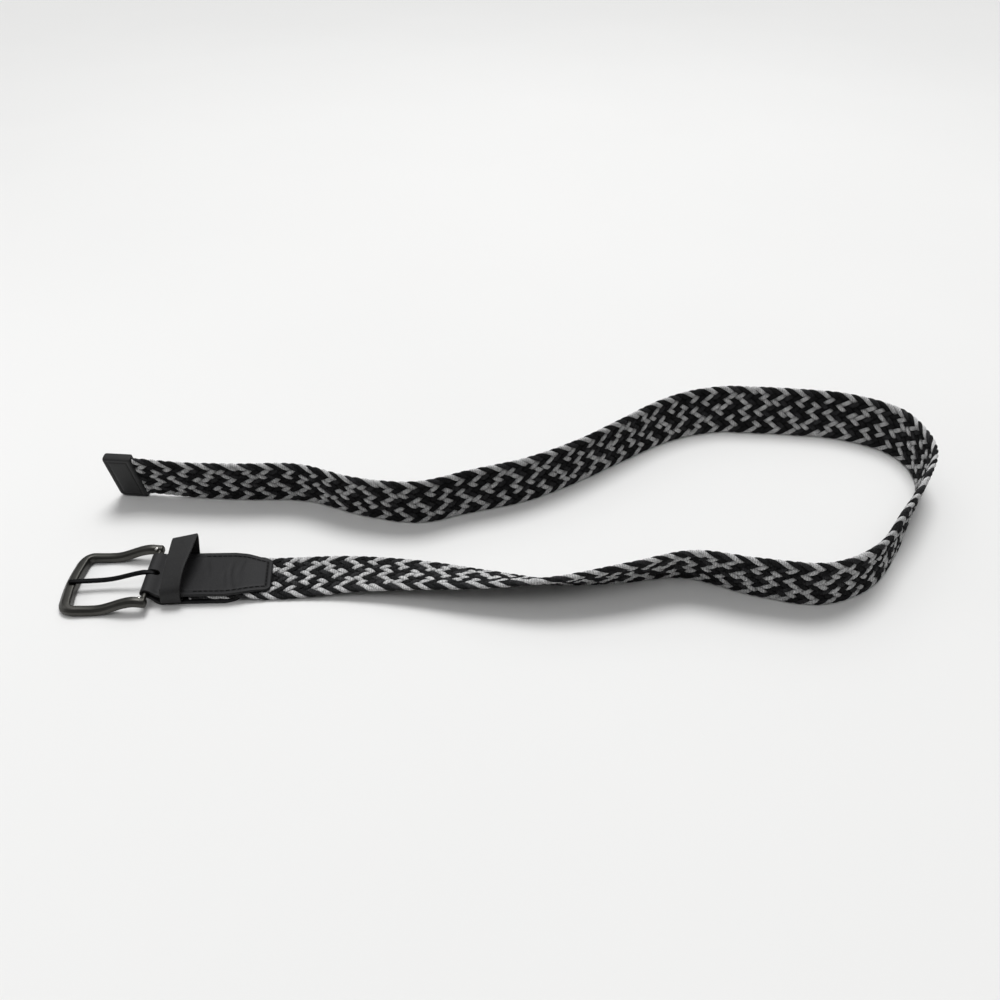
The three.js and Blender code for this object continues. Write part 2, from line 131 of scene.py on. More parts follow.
@dataclass(frozen=True)
class Leather:
    """Sizes that the tab, the keeper and the cap share."""

    seat_gap: float = 0.3
    swing_gap: float = 0.35
    strap_width: float = 35.0
    strap_thickness: float = 3.6
    pressed_thickness: float = 3.2
    tab_thickness: float = 1.9
    tab_overhang: float = 0.3
    lower_length: float = 53.0
    upper_length: float = 69.3
    fold_run: float = 8.4
    cap_length: float = 18.6
    cap_rim: float = 2.6
    cap_side: float = 0.9
    cap_wall: float = 1.1
    cap_gap: float = 0.6

    @property
    def tab_width(self) -> float:
        """Width of the tab."""
        return self.strap_width + 2 * self.tab_overhang

    @property
    def tab_top(self) -> float:
        """Height of the tab's upper face over the surface."""
        return 2 * (self.tab_thickness + self.seat_gap) + self.pressed_thickness


@dataclass
class BeltLine:
    """The line that the belt lies on, and how the strap stands on it."""

    length: float = 490.0
    depth: float = 143.0
    cap_run: float = 40.0
    settle_run: float = 18.0
    edge: float = 1.2
    cap_edge: float = 0.6
    fineness: int = 60
    shared: Leather = field(default_factory=Leather)
    lay: Sequence[tuple[float, float, float]] = (
        # along and across as shares of length and depth, and roll in degrees
        (0.0, 0.0, 0),
        (0.05, 0.0, 0),
        (0.1, -0.005, 0),
        (0.15, -0.005, 0),
        (0.19, -0.005, 2),
        (0.235, -0.01, 7),
        (0.315, -0.05, 16),
        (0.395, -0.115, 29),
        (0.475, -0.165, 46),
        (0.555, -0.155, 59),
        (0.635, -0.125, 67),
        (0.71, -0.22, 78),
        (0.785, -0.275, 85),
        (0.85, -0.19, 91),
        (0.905, 0.01, 93),
        (0.955, 0.24, 83),
        (0.995, 0.45, 86),
        (1.0, 0.625, 88),
        (0.985, 0.765, 82),
        (0.93, 0.895, 78),
        (0.86, 0.955, 76),
        (0.79, 0.99, 76),
        (0.76, 1.0, 77),
        (0.71, 0.97, 79),
        (0.66, 0.895, 82),
        (0.595, 0.745, 87),
        (0.53, 0.595, 90),
        (0.46, 0.47, 90),
        (0.385, 0.395, 92),
        (0.315, 0.33, 95),
        (0.24, 0.385, 100),
        (0.165, 0.5, 101),
        (0.08, 0.525, 103),
        (0.0, 0.555, 104),
        (-0.05, 0.58, 104),
    )

    def __post_init__(self) -> None:
        """Draws the line once, with the roll as a small third coordinate."""
        rows = np.array(self.lay, float) * (self.length, self.depth, 0.01)
        self.points = spline(rows, self.fineness)
        self.run = lengths(self.points)
        self.total = float(self.run[-1])
        self.tangents = np.gradient(self.points[:, :2], self.run, axis=0)
        self.cap_lift = self._cap_lift()

    def at(self, distances: np.ndarray) -> Places:
        """Stations on the line, carried on straight beyond its ends.

        Args:
            distances: how far each is from the bar.

        Returns:
            Their points, the way ahead, the side of the -Y edge and the front face.
        """
        distances = np.atleast_1d(np.asarray(distances, float))
        held = np.clip(distances, 0.0, self.total)
        place = read_line(self.points, held)
        flat = [np.interp(held, self.run, self.tangents[:, k]) for k in range(2)]
        ahead = unit(np.stack([*flat, np.zeros_like(held)], 1))
        roll = np.radians(place[:, 2] * 100)[:, None]
        point = place * (1, 1, 0) + ahead * (distances - held)[:, None]
        side = np.cross(ahead, UP) * np.cos(roll) + UP * np.sin(roll)
        return Places(point, ahead, side, np.cross(side, ahead))

    def _depth(self, places: Places, width: float, thickness: np.ndarray, edge: float) -> np.ndarray:
        """How far a band's section reaches below its centre.

        Args:
            places: the stations.
            width: the band's width.
            thickness: its thickness at each.
            edge: how far its edges are rounded.

        Returns:
            The depths.
        """
        rise = np.minimum(edge, thickness * 0.35)
        across, out = np.abs(places.side[:, 2]), np.abs(places.face[:, 2])
        by_edge = across * width / 2 + out * (thickness / 2 - rise)
        by_face = across * (width / 2 - edge) + out * thickness / 2
        return np.maximum(by_edge, by_face)

    def _cap_lift(self) -> float:
        """How much higher the strap lies in the cap than it would alone."""
        shared, spot = self.shared, self.at([self.total])
        wall = np.array([shared.pressed_thickness + 2 * (shared.seat_gap + shared.cap_wall)])
        wide = shared.strap_width + 2 * (shared.seat_gap + shared.cap_side)
        bare = np.array([shared.pressed_thickness])
        cap = self._depth(spot, wide, wall, self.cap_edge)
        return float((cap - self._depth(spot, shared.strap_width, bare, self.edge))[0])

    def strap(self, distances: np.ndarray) -> tuple[Places, np.ndarray, np.ndarray]:
        """The strap's stations.

        Args:
            distances: how far each is from the bar.

        Returns:
            The stations, the strap's centres and its thicknesses.
        """
        shared, places = self.shared, self.at(distances)
        far = np.atleast_1d(np.asarray(distances, float))
        off_cap = 1 - smooth(far, self.total - self.cap_run, self.total)
        free = smooth(far, shared.lower_length, shared.upper_length + self.settle_run)
        span = shared.strap_thickness - shared.pressed_thickness
        thickness = shared.pressed_thickness + span * np.minimum(free, off_cap)
        off_tab = smooth(far, shared.lower_length, shared.lower_length + self.settle_run)
        lift = (1 - off_tab) * (shared.tab_thickness + shared.seat_gap)
        lift = lift + (1 - off_cap) * self.cap_lift
        height = lift + self._depth(places, shared.strap_width, thickness, self.edge)
        return places, places.point + height[:, None] * UP, thickness


# Meshes


def loft(rings: np.ndarray, loop: bool = False, start: int = 0) -> tuple[list, list]:
    """The quads of a skin over closed rings, and the faces that close its ends.

    Args:
        rings: one ring a row, each of the same number of points.
        loop: whether the last ring joins the first.
        start: the number of the first point.

    Returns:
        The quads as an array, and the end faces as lists.
    """
    count, size = rings.shape[:2]
    spans = count if loop else count - 1
    here = np.arange(spans)[:, None] * size
    there = (np.arange(1, spans + 1)[:, None] % count) * size
    first = np.arange(size)[None]
    second = (first + 1) % size
    quads = np.stack([here + first, here + second, there + second, there + first], -1)
    ends = []
    if not loop:
        last = (count - 1) * size
        ends = [list(range(size - 1, -1, -1)), list(range(last, last + size))]
        ends = [[start + k for k in end] for end in ends]
    return quads.reshape(-1, 4) + start, ends


def make_piece(
    name: str,
    points: np.ndarray,
    quads: np.ndarray,
    others: Sequence[Sequence[int]] = (),
    uv: Union[np.ndarray, None] = None,
    sharp: float = 40.0,
    rise: Union[np.ndarray, None] = None,
) -> bpy.types.Object:
    """A smooth-shaded object from points in the belt's own millimetres.

    Args:
        name: the object's name.
        points: its points.
        quads: its four-sided faces.
        others: its other faces.
        uv: the map of each corner of the quads.
        sharp: the angle between faces, in degrees, over which an edge shows.
        rise: how far each point stands up out of the weave, from 0 to 1, read by the yarn shader to paint
            shade.

    Returns:
        The object, linked into the scene.
    """
    mesh = bpy.data.meshes.new(name)
    places = (points.reshape(-1, 3) + BAR_PLACE) * METRE
    corners = np.concatenate([quads.ravel(), *[np.array(face) for face in others]]).astype(np.int32)
    sizes = np.array([4] * len(quads) + [len(face) for face in others])
    mesh.vertices.add(len(places))
    mesh.vertices.foreach_set("co", places.astype(np.float32).ravel())
    mesh.loops.add(len(corners))
    mesh.loops.foreach_set("vertex_index", corners)
    mesh.polygons.add(len(sizes))
    starts = np.concatenate([[0], np.cumsum(sizes)[:-1]]).astype(np.int32)
    mesh.polygons.foreach_set("loop_start", starts)
    mesh.update(calc_edges=True)
    mesh.validate()
    if uv is not None:
        layer = mesh.uv_layers.new(name="yarn")
        full = np.zeros((len(corners), 2), np.float32)
        full[: len(uv)] = uv
        layer.uv.foreach_set("vector", full.ravel())
    if rise is not None:
        layer = mesh.attributes.new("rise", "FLOAT", "POINT")
        layer.data.foreach_set("value", rise.astype(np.float32))
    mesh.shade_smooth()
    mesh.set_sharp_from_angle(angle=math.radians(sharp))
    piece = bpy.data.objects.new(name, mesh)
    bpy.context.scene.collection.objects.link(piece)
    return piece


def joined(parts: Sequence[tuple[np.ndarray, bool]]) -> tuple[np.ndarray, np.ndarray, list]:
    """Several lofted skins as one mesh.

    Args:
        parts: each skin's rings, and whether it is a loop.

    Returns:
        All points, all quads and all end faces.
    """
    points, quads, ends, start = [], [], [], 0
    for rings, loop in parts:
        faces, closing = loft(rings, loop, start)
        points.append(rings.reshape(-1, 3))
        quads.append(faces)
        ends.extend(closing)
        start += rings.shape[0] * rings.shape[1]
    return np.concatenate(points), np.concatenate(quads), ends


def cut(piece: bpy.types.Object, tool: bpy.types.Object) -> None:
    """Takes one closed object's room out of another, and deletes the first."""
    change = piece.modifiers.new("cut", "BOOLEAN")
    change.operation = "DIFFERENCE"
    change.solver = "EXACT"
    change.object = tool
    graph = bpy.context.evaluated_depsgraph_get()
    mesh = bpy.data.meshes.new_from_object(piece.evaluated_get(graph))
    piece.modifiers.clear()
    old, piece.data = piece.data, mesh
    mesh.name = piece.name
    bpy.data.meshes.remove(old)
    bpy.data.objects.remove(tool)


def rounded(section: np.ndarray, cut_share: float = 0.24, steps: int = 3) -> np.ndarray:
    """A closed section with its corners rounded.

    Args:
        section: its corners, one a row.
        cut_share: how much of each side the rounding takes at either end.
        steps: how many sides stand for a rounded corner.

    Returns:
        The rounded section, one point a row.
    """
    before, after = np.roll(section, 1, axis=0), np.roll(section, -1, axis=0)
    leave, arrive = section + (before - section) * cut_share, section + (after - section) * cut_share
    share = np.linspace(0, 1, steps + 1)[None, :, None]
    curve = leave[:, None] * (1 - share) ** 2 + 2 * section[:, None] * share * (1 - share)
    return (curve + arrive[:, None] * share**2).reshape(-1, section.shape[1])


# Materials


Value = Union["Wire", float, tuple]


class Wire:
    """What one output socket carries, with arithmetic on it."""

    def __init__(self, graph: "Graph", socket: bpy.types.NodeSocket) -> None:
        """Holds a socket of a graph."""
        self.graph, self.socket = graph, socket

    def __add__(self, other: Value) -> "Wire":
        """Sum."""
        return self.graph.maths("ADD", self, other)

    __radd__ = __add__

    def __mul__(self, other: Value) -> "Wire":
        """Product."""
        return self.graph.maths("MULTIPLY", self, other)

    __rmul__ = __mul__

    def __sub__(self, other: Value) -> "Wire":
        """Difference."""
        return self.graph.maths("SUBTRACT", self, other)

    def __rsub__(self, other: Value) -> "Wire":
        """Difference from a number."""
        return self.graph.maths("SUBTRACT", other, self)

    def __truediv__(self, other: Value) -> "Wire":
        """Quotient."""
        return self.graph.maths("DIVIDE", self, other)

    def __rtruediv__(self, other: Value) -> "Wire":
        """Quotient of a number."""
        return self.graph.maths("DIVIDE", other, self)

    def sine(self) -> "Wire":
        """Sine of an angle in radians."""
        return self.graph.maths("SINE", self, 0.0)

    def ramp(self, low: float, high: float) -> "Wire":
        """Eases from 0 at low to 1 at high."""
        settings = {"interpolation_type": "SMOOTHSTEP"}
        return self.graph.node("MapRange", settings, {0: self, 1: low, 2: high}, "Result")


class Graph:
    """The nodes of one material."""

    def __init__(self, name: str) -> None:
        """Makes the material with its plain surface."""
        self.material = bpy.data.materials.new(name)
        self.material.use_nodes = True
        self.nodes = self.material.node_tree.nodes
        self.links = self.material.node_tree.links
        self.surface = self.nodes["Principled BSDF"]

    def node(self, kind: str, settings: dict, values: dict, output: Union[str, int] = 0) -> Wire:
        """Adds a node.

        Args:
            kind: its type, without the usual first words.
            settings: its own properties, set first.
            values: what its sockets take, by name or number.
            output: the socket to carry on from.

        Returns:
            That socket's wire.
        """
        made = self.nodes.new("ShaderNode" + kind)
        for key, value in settings.items():
            setattr(made, key, value)
        for key, value in values.items():
            self.feed(made.inputs[key], value)
        return Wire(self, made.outputs[output])

    def feed(self, socket: bpy.types.NodeSocket, value: Value) -> None:
        """Links a wire to a socket, or sets a plain value on it."""
        if isinstance(value, Wire):
            self.links.new(value.socket, socket)
        else:
            socket.default_value = value

    def maths(self, operation: str, first: Value, second: Value) -> Wire:
        """One step of arithmetic."""
        return self.node("Math", {"operation": operation}, {0: first, 1: second})

    def vector(self, operation: str, first: Value, second: Value) -> Wire:
        """One step of vector arithmetic."""
        return self.node("VectorMath", {"operation": operation}, {0: first, 1: second})

    def blend(self, factor: Value, first: Value, second: Value, mode: str = "MIX") -> Wire:
        """A mix of two colours, from the first at 0 to the second at 1."""
        settings = {"data_type": "RGBA", "blend_type": mode}
        return self.node("Mix", settings, {0: factor, 6: first, 7: second}, 2)

    def place(self) -> Wire:
        """Where a point of the surface is, in metres in the part's frame."""
        return self.node("TexCoord", {}, {}, "Object")

    def noise(self, at: Value, scale: float, detail: float = 2.0, rough: float = 0.5) -> Wire:
        """Soft cloudy noise about 0.5."""
        values = {"Vector": at, "Scale": scale, "Detail": detail, "Roughness": rough}
        return self.node("TexNoise", {}, values, 0)

    def bump(self, height: Value, distance: float, normal: Union[Value, None] = None) -> Wire:
        """A normal that stands for small relief, distance high in metres."""
        values = {"Height": height, "Distance": distance, "Strength": 1.0}
        if normal is not None:
            values["Normal"] = normal
        return self.node("Bump", {}, values)

    def finish(self, constants: dict, varying: dict) -> bpy.types.Material:
        """Sets the surface and gives the material."""
        for key, value in {**constants, **varying}.items():
            self.feed(self.surface.inputs[key], value)
        return self.material


@dataclass(frozen=True)
class YarnFinish:
    """Dull textured yarn."""

    name: str
    deep: tuple[float, float, float]
    plain: tuple[float, float, float]
    bright: tuple[float, float, float]
    twist: float = 3.4
    spec: float = 0.12
    paints_weave_shade: bool = True
    # how dark the painted shade in the weave's hollows makes the colour
    painted_valley_shade: float = 0.4

    def material(self) -> bpy.types.Material:
        """Yarn with its twist, its fibres and its uneven dye, with painted shade in the ply's grooves and
        where woven yarn sinks into the weave.
        """
        graph = Graph(self.name)
        run = graph.node("UVMap", {"uv_map": "yarn"}, {})
        along = graph.node("SeparateXYZ", {}, {0: run}, "X")
        around = graph.node("SeparateXYZ", {}, {0: run}, "Y")
        place = graph.place()
        wander = graph.noise(place, 420.0, 2.0)
        turns = (along * (2.0 / self.twist) + around * 2.0 + wander * 0.9) * math.tau
        ply = turns.sine() * 0.5 + 0.5
        fibre = graph.noise(place, 2600.0, 3.0, 0.65)
        patch = graph.noise(place, 330.0, 3.0, 0.6).ramp(0.3, 0.72)
        # The ply's stripes also darken the colour along the twist's grooves: painted shade, mixed with the
        # fibres' own uneven tone.
        tone_and_ply_shade = (ply * 0.35 + fibre.ramp(0.32, 0.7) * 0.65) * (patch * 0.5 + 0.5)
        colour = graph.blend(tone_and_ply_shade.ramp(0.0, 0.55), (*self.deep, 1), (*self.plain, 1))
        colour = graph.blend(tone_and_ply_shade.ramp(0.5, 0.95), colour, (*self.bright, 1))
        # Painted shade: the colour is darkened where the yarn sinks into the weave, at crossings and on a
        # strand's outer yarns.
        if self.paints_weave_shade:
            rise = graph.node("Attribute", {"attribute_name": "rise"}, {}, "Fac")
            weave_shade_colour = graph.blend(1.0, colour, (self.painted_valley_shade, self.painted_valley_shade, self.painted_valley_shade, 1), "MULTIPLY")
            colour = graph.blend(rise.ramp(0.1, 0.85), weave_shade_colour, colour)
        height = ply * 0.6 + fibre * 0.8
        constants = {"Roughness": 0.95, "Specular IOR Level": self.spec}
        varying = {"Base Color": colour, "Normal": graph.bump(height, 0.00025)}
        return graph.finish(constants, varying)


@dataclass(frozen=True)
class LeatherFinish:
    """Smooth dyed leather with a fine grain."""

    name: str
    dark: tuple[float, float, float]
    light: tuple[float, float, float]
    rough: float = 0.55
    grain: float = 0.00006

    def material(self) -> bpy.types.Material:
        """Leather with grain, pores, soft creases and uneven dye."""
        graph = Graph(self.name)
        place = graph.place()
        pebble = graph.node("TexVoronoi", {"feature": "SMOOTH_F1"}, {"Vector": place, "Scale": 1500.0})
        pores = graph.noise(place, 3200.0, 2.0, 0.6)
        cloud = graph.noise(place, 45.0, 4.0, 0.55)
        crease = graph.noise(graph.vector("MULTIPLY", place, (60.0, 12.0, 60.0)), 1.0, 3.0)
        shade = (cloud * 0.7 + pebble * 0.3).ramp(0.3, 0.7)
        colour = graph.blend(shade, (*self.dark, 1), (*self.light, 1))
        fine = graph.bump(pebble * 0.7 + pores * 0.5, self.grain)
        normal = graph.bump(crease, 0.0004, fine)
        rough = cloud * 0.16 + (self.rough - 0.08)
        constants = {"Specular IOR Level": 0.2}
        varying = {"Base Color": colour, "Roughness": rough, "Normal": normal}
        return graph.finish(constants, varying)


@dataclass(frozen=True)
class MetalFinish:
    """Dark plated metal."""

    name: str
    tone: tuple[float, float, float]
    worn: tuple[float, float, float]
    rough: float

    def material(self) -> bpy.types.Material:
        """Plating with faint brushing, handling marks and brighter rubbed spots."""
        graph = Graph(self.name)
        place = graph.place()
        cloud = graph.noise(place, 60.0, 4.0, 0.6)
        brush = graph.noise(graph.vector("MULTIPLY", place, (300.0, 2600.0, 2600.0)), 1.0, 2.0)
        colour = graph.blend(cloud.ramp(0.35, 0.75), (*self.tone, 1), (*self.worn, 1))
        rough = cloud * 0.1 + brush * 0.06 + (self.rough - 0.08)
        constants = {"Metallic": 1.0}
        varying = {"Base Color": colour, "Roughness": rough, "Normal": graph.bump(brush, 0.000004)}
        return graph.finish(constants, varying)


@dataclass(frozen=True)
class Palette:
    """The belt's finishes."""

    light: YarnFinish = YarnFinish(
        "light_yarn", deep=(0.24, 0.24, 0.245), plain=(0.68, 0.68, 0.68), bright=(0.97, 0.97, 0.96)
    )
    charcoal: YarnFinish = YarnFinish(
        "charcoal_yarn", deep=(0.016, 0.016, 0.017), plain=(0.045, 0.045, 0.047), bright=(0.1, 0.1, 0.104)
    )
    black: YarnFinish = YarnFinish(
        "black_yarn", deep=(0.008, 0.008, 0.0085), plain=(0.021, 0.0212, 0.022), bright=(0.05, 0.0505, 0.052)
    )
    leather: LeatherFinish = LeatherFinish(
        "dark_leather", dark=(0.0125, 0.0125, 0.0135), light=(0.0195, 0.0195, 0.0205)
    )
    # Keeper and cap: the same leather as the tab, painted lighter to make up for the dimmer light on their
    # upright faces.
    upright: LeatherFinish = LeatherFinish(
        "upright_leather_painted_lit", dark=(0.02, 0.02, 0.0205), light=(0.03, 0.03, 0.0305)
    )
    thread: YarnFinish = YarnFinish(
        "black_thread",
        deep=(0.004, 0.004, 0.004),
        plain=(0.012, 0.012, 0.012),
        bright=(0.03, 0.03, 0.03),
        twist=1.6,
        spec=0.2,
        paints_weave_shade=False,
    )
    core: YarnFinish = YarnFinish(
        "elastic",
        deep=(0.003, 0.003, 0.003),
        plain=(0.006, 0.006, 0.006),
        bright=(0.01, 0.01, 0.01),
        twist=2.0,
        spec=0.1,
        paints_weave_shade=False,
    )
    # Bright metal for the bar's pin ends: partly the pins' own metal, partly a painted highlight on the
    # rails' ends.
    bright: MetalFinish = MetalFinish(
        "pin_metal_painted_highlight", tone=(0.4, 0.39, 0.37), worn=(0.55, 0.54, 0.52), rough=0.25
    )
    gunmetal: MetalFinish = MetalFinish(
        "gunmetal_plate", tone=(0.062, 0.061, 0.056), worn=(0.082, 0.08, 0.074), rough=0.42
    )
    steel: MetalFinish = MetalFinish(
        "black_prong", tone=(0.01, 0.01, 0.0105), worn=(0.016, 0.016, 0.0165), rough=0.46
    )


def dress(piece: bpy.types.Object, material: bpy.types.Material, body: str) -> None:
    """Gives a piece its material and the body that it moves with."""
    piece.data.materials.clear()
    piece.data.materials.append(material)
    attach(piece, body)


# The braided strap


class Yarn(Enum):
    """The colours of the strap's strands."""

    LIGHT = "light"
    CHARCOAL = "charcoal"
    BLACK = "black"


@dataclass
class BraidedStrap:
    """A flat braid: every strand runs from edge to edge, over two others and under two."""

    line: BeltLine
    yarns: int = 4
    edge_reach: float = 17.7
    turn_round: float = 0.5
    half_height: float = 0.8
    half_width: float = 0.42
    crown: float = 0.34
    bundle: float = 0.84
    pinch: float = 0.12
    swell: float = 0.12
    edge_round: float = 0.035
    core_width: float = 32.0
    core_thickness: float = 0.5
    station: float = 1.375
    first: float = 24.3
    pitch_near: float = 5.42
    pitch_far: float = 5.61
    change: float = 613.0
    lead: float = 136.1
    lead_strand: int = 14
    sides: int = 6
    slack: float = 1.24
    group: int = 4
    core_stations: int = 320
    order: Sequence[Yarn] = (
        Yarn.LIGHT,
        Yarn.BLACK,
        Yarn.LIGHT,
        Yarn.BLACK,
        Yarn.BLACK,
        Yarn.LIGHT,
        Yarn.BLACK,
        Yarn.CHARCOAL,
        Yarn.LIGHT,
        Yarn.BLACK,
        Yarn.LIGHT,
        Yarn.BLACK,
        Yarn.CHARCOAL,
        Yarn.LIGHT,
        Yarn.LIGHT,
        Yarn.BLACK,
        Yarn.CHARCOAL,
    )

    @property
    def strands(self) -> int:
        """How many strands the braid has."""
        return len(self.order)

    def passed(self, distances: np.ndarray) -> np.ndarray:
        """How many strands have reached the -Y edge by each distance."""
        near = self.lead_strand + (distances - self.lead) / self.pitch_near
        turn = self.lead_strand + (self.change - self.lead) / self.pitch_near
        far = turn + (distances - self.change) / self.pitch_far
        return np.where(distances < self.change, near, far)

    def _wave(self, columns: np.ndarray) -> np.ndarray:
        """Over and under.

        Args:
            columns: places across the braid, counted in strands on and on from turn to turn.

        Returns:
            1 on the front face, -1 on the back, and between them where a strand changes sides.
        """
        at = np.mod(columns, self.strands)
        last = self.strands - 1.5
        inner = -np.cos(np.pi * (at - 1.5) / 2)
        edge = np.where(at > 1.5, np.cos(np.pi * (at - last) / 3), np.cos(np.pi * (at + 1.5) / 3))
        wave = np.where((at > 1.5) & (at < last), inner, edge)
        return wave / np.sqrt(wave**2 + 0.8) * math.sqrt(1.8)

    def yarn(self, strand: int, place: float, distances: np.ndarray) -> tuple[np.ndarray, np.ndarray]:
        """One yarn of a strand as rings.

        Args:
            strand: the strand's number.
            place: where the yarn is in it, from -0.5 to 0.5.
            distances: its stations' distances from the bar.

        Returns:
            Its rings of points, and how far each ring stands up out of the weave, which sets its painted
            shade.
        """
        places, centre, thickness = self.line.strap(distances)
        squeeze = thickness / self.line.shared.strap_thickness
        count = self.strands
        middle = 2 * (self.passed(distances) - strand)
        pinch = 1 - self.pinch * (1 - np.abs(self._wave(middle)))
        column = middle - 2 * place * pinch
        folded = np.abs(np.mod(column + count, 2 * count) - count)
        other = count - folded
        soft = np.sqrt(folded**2 + self.turn_round**2) - folded
        soft = folded + soft - (np.sqrt(other**2 + self.turn_round**2) - other)
        across = self.edge_reach * (1 - 2 * soft / count) * (1 - self.edge_round * (2 * place) ** 2)
        near_edge = np.minimum(folded, other)
        wave = self._wave(column + place * smooth(near_edge, 0.5, 2.0))
        depth = self.line.shared.strap_thickness / 2 - self.half_height
        out = wave * (depth + self.swell - self.crown * 2 * (2 * place) ** 2) * squeeze
        # rise is low where the yarn sinks into the weave and on a strand's outer yarns; the yarn shader
        # paints shade there.
        rise = np.maximum(np.abs(wave), 1 - smooth(near_edge, 0.5, 2.5)) * (1 - 0.55 * (2 * place) ** 2)
        spots = centre + places.side * across[:, None] + places.face * out[:, None]
        run = np.round(column / count)
        past = np.clip(column - run * count, -1.5, 1.5) * np.pi / 3
        turned = np.where(np.mod(run, 2) == 0, 1.0, -1.0)
        normal = places.face * (-np.sin(past) * turned)[:, None]
        normal = normal + places.side * np.cos(past)[:, None]
        ahead = unit(np.gradient(spots, axis=0))
        broad = unit(np.cross(ahead, normal))
        tall = np.cross(broad, ahead)
        angles = np.radians(30) + math.tau / self.sides * np.arange(self.sides)
        wide = broad[:, None] * (np.cos(angles) * self.half_width * 1.1)[None, :, None]
        high = tall[:, None] * (np.sin(angles) * self.half_height * 1.08)[None, :, None]
        return spots[:, None] + wide + high * squeeze[:, None, None], rise

    def build(self, palette: Palette) -> list[bpy.types.Object]:
        """Makes the strands, a piece for every four or so of one colour.

        Args:
            palette: the belt's finishes.

        Returns:
            The pieces.
        """
        shared = self.line.shared
        total = self.line.total + shared.cap_length - shared.cap_rim - shared.cap_gap
        count = int(round((total - self.first) / self.station))
        distances = np.linspace(self.first, total, count + 1)
        lanes = (np.arange(self.yarns) + 0.5) / self.yarns - 0.5
        pieces = []
        for colour in Yarn:
            finish = getattr(palette, colour.value).material()
            numbers = [k for k, held in enumerate(self.order) if held is colour]
            for part, group in enumerate(np.array_split(numbers, math.ceil(len(numbers) / self.group))):
                yarns = [
                    self.yarn(strand, lane * self.bundle, distances)
                    for strand in group
                    for lane in lanes
                ]
                points, quads, ends = joined([(tube, False) for tube, _ in yarns])
                rise = np.concatenate([np.repeat(height, self.sides) for _, height in yarns])
                uv = self._map(distances, len(yarns))
                name = f"{colour.value}_strands_{part + 1}"
                piece = make_piece(name, points, quads, ends, uv, 180.0, rise)
                dress(piece, finish, "belt")
                pieces.append(piece)
        pieces.append(self._core(palette, total))
        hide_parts("strap")
        return pieces

    def _core(self, palette: Palette, end: float) -> bpy.types.Object:
        """The dark elastic that fills the braid between its two faces.

        Args:
            palette: the belt's finishes.
            end: its far end's distance from the bar.

        Returns:
            The piece.
        """
        distances = np.linspace(self.first, end, self.core_stations)
        places, centre, _ = self.line.strap(distances)
        half = (self.core_width / 2, self.core_thickness / 2)
        corners = np.array([(-1, -1), (1, -1), (1, 1), (-1, 1)]) * half
        across = places.side[:, None] * corners[None, :, :1]
        rings = centre[:, None] + across + places.face[:, None] * corners[None, :, 1:]
        points, quads, ends = joined([(rings, False)])
        piece = make_piece("elastic_core", points, quads, ends)
        dress(piece, palette.core.material(), "belt")
        return piece

    def _map(self, distances: np.ndarray, tubes: int) -> np.ndarray:
        """The map of one colour's tubes: millimetres along, and turns around.

        Args:
            distances: the stations' distances from the bar.
            tubes: how many tubes take it.

        Returns:
            The place on the map of each corner of their quads.
        """
        along = distances * self.slack
        low, high = along[:-1, None], along[1:, None]
        first = np.arange(self.sides)[None] / self.sides
        second = first + 1 / self.sides
        one = np.ones_like(first)
        uv = np.stack(
            [
                np.stack([low * one, first + 0 * low], -1),
                np.stack([low * one, second + 0 * low], -1),
                np.stack([high * one, second + 0 * low], -1),
                np.stack([high * one, first + 0 * low], -1),
            ],
            2,
        )
        return np.tile(uv.reshape(-1, 2), (tubes, 1)).astype(np.float32)


# The buckle


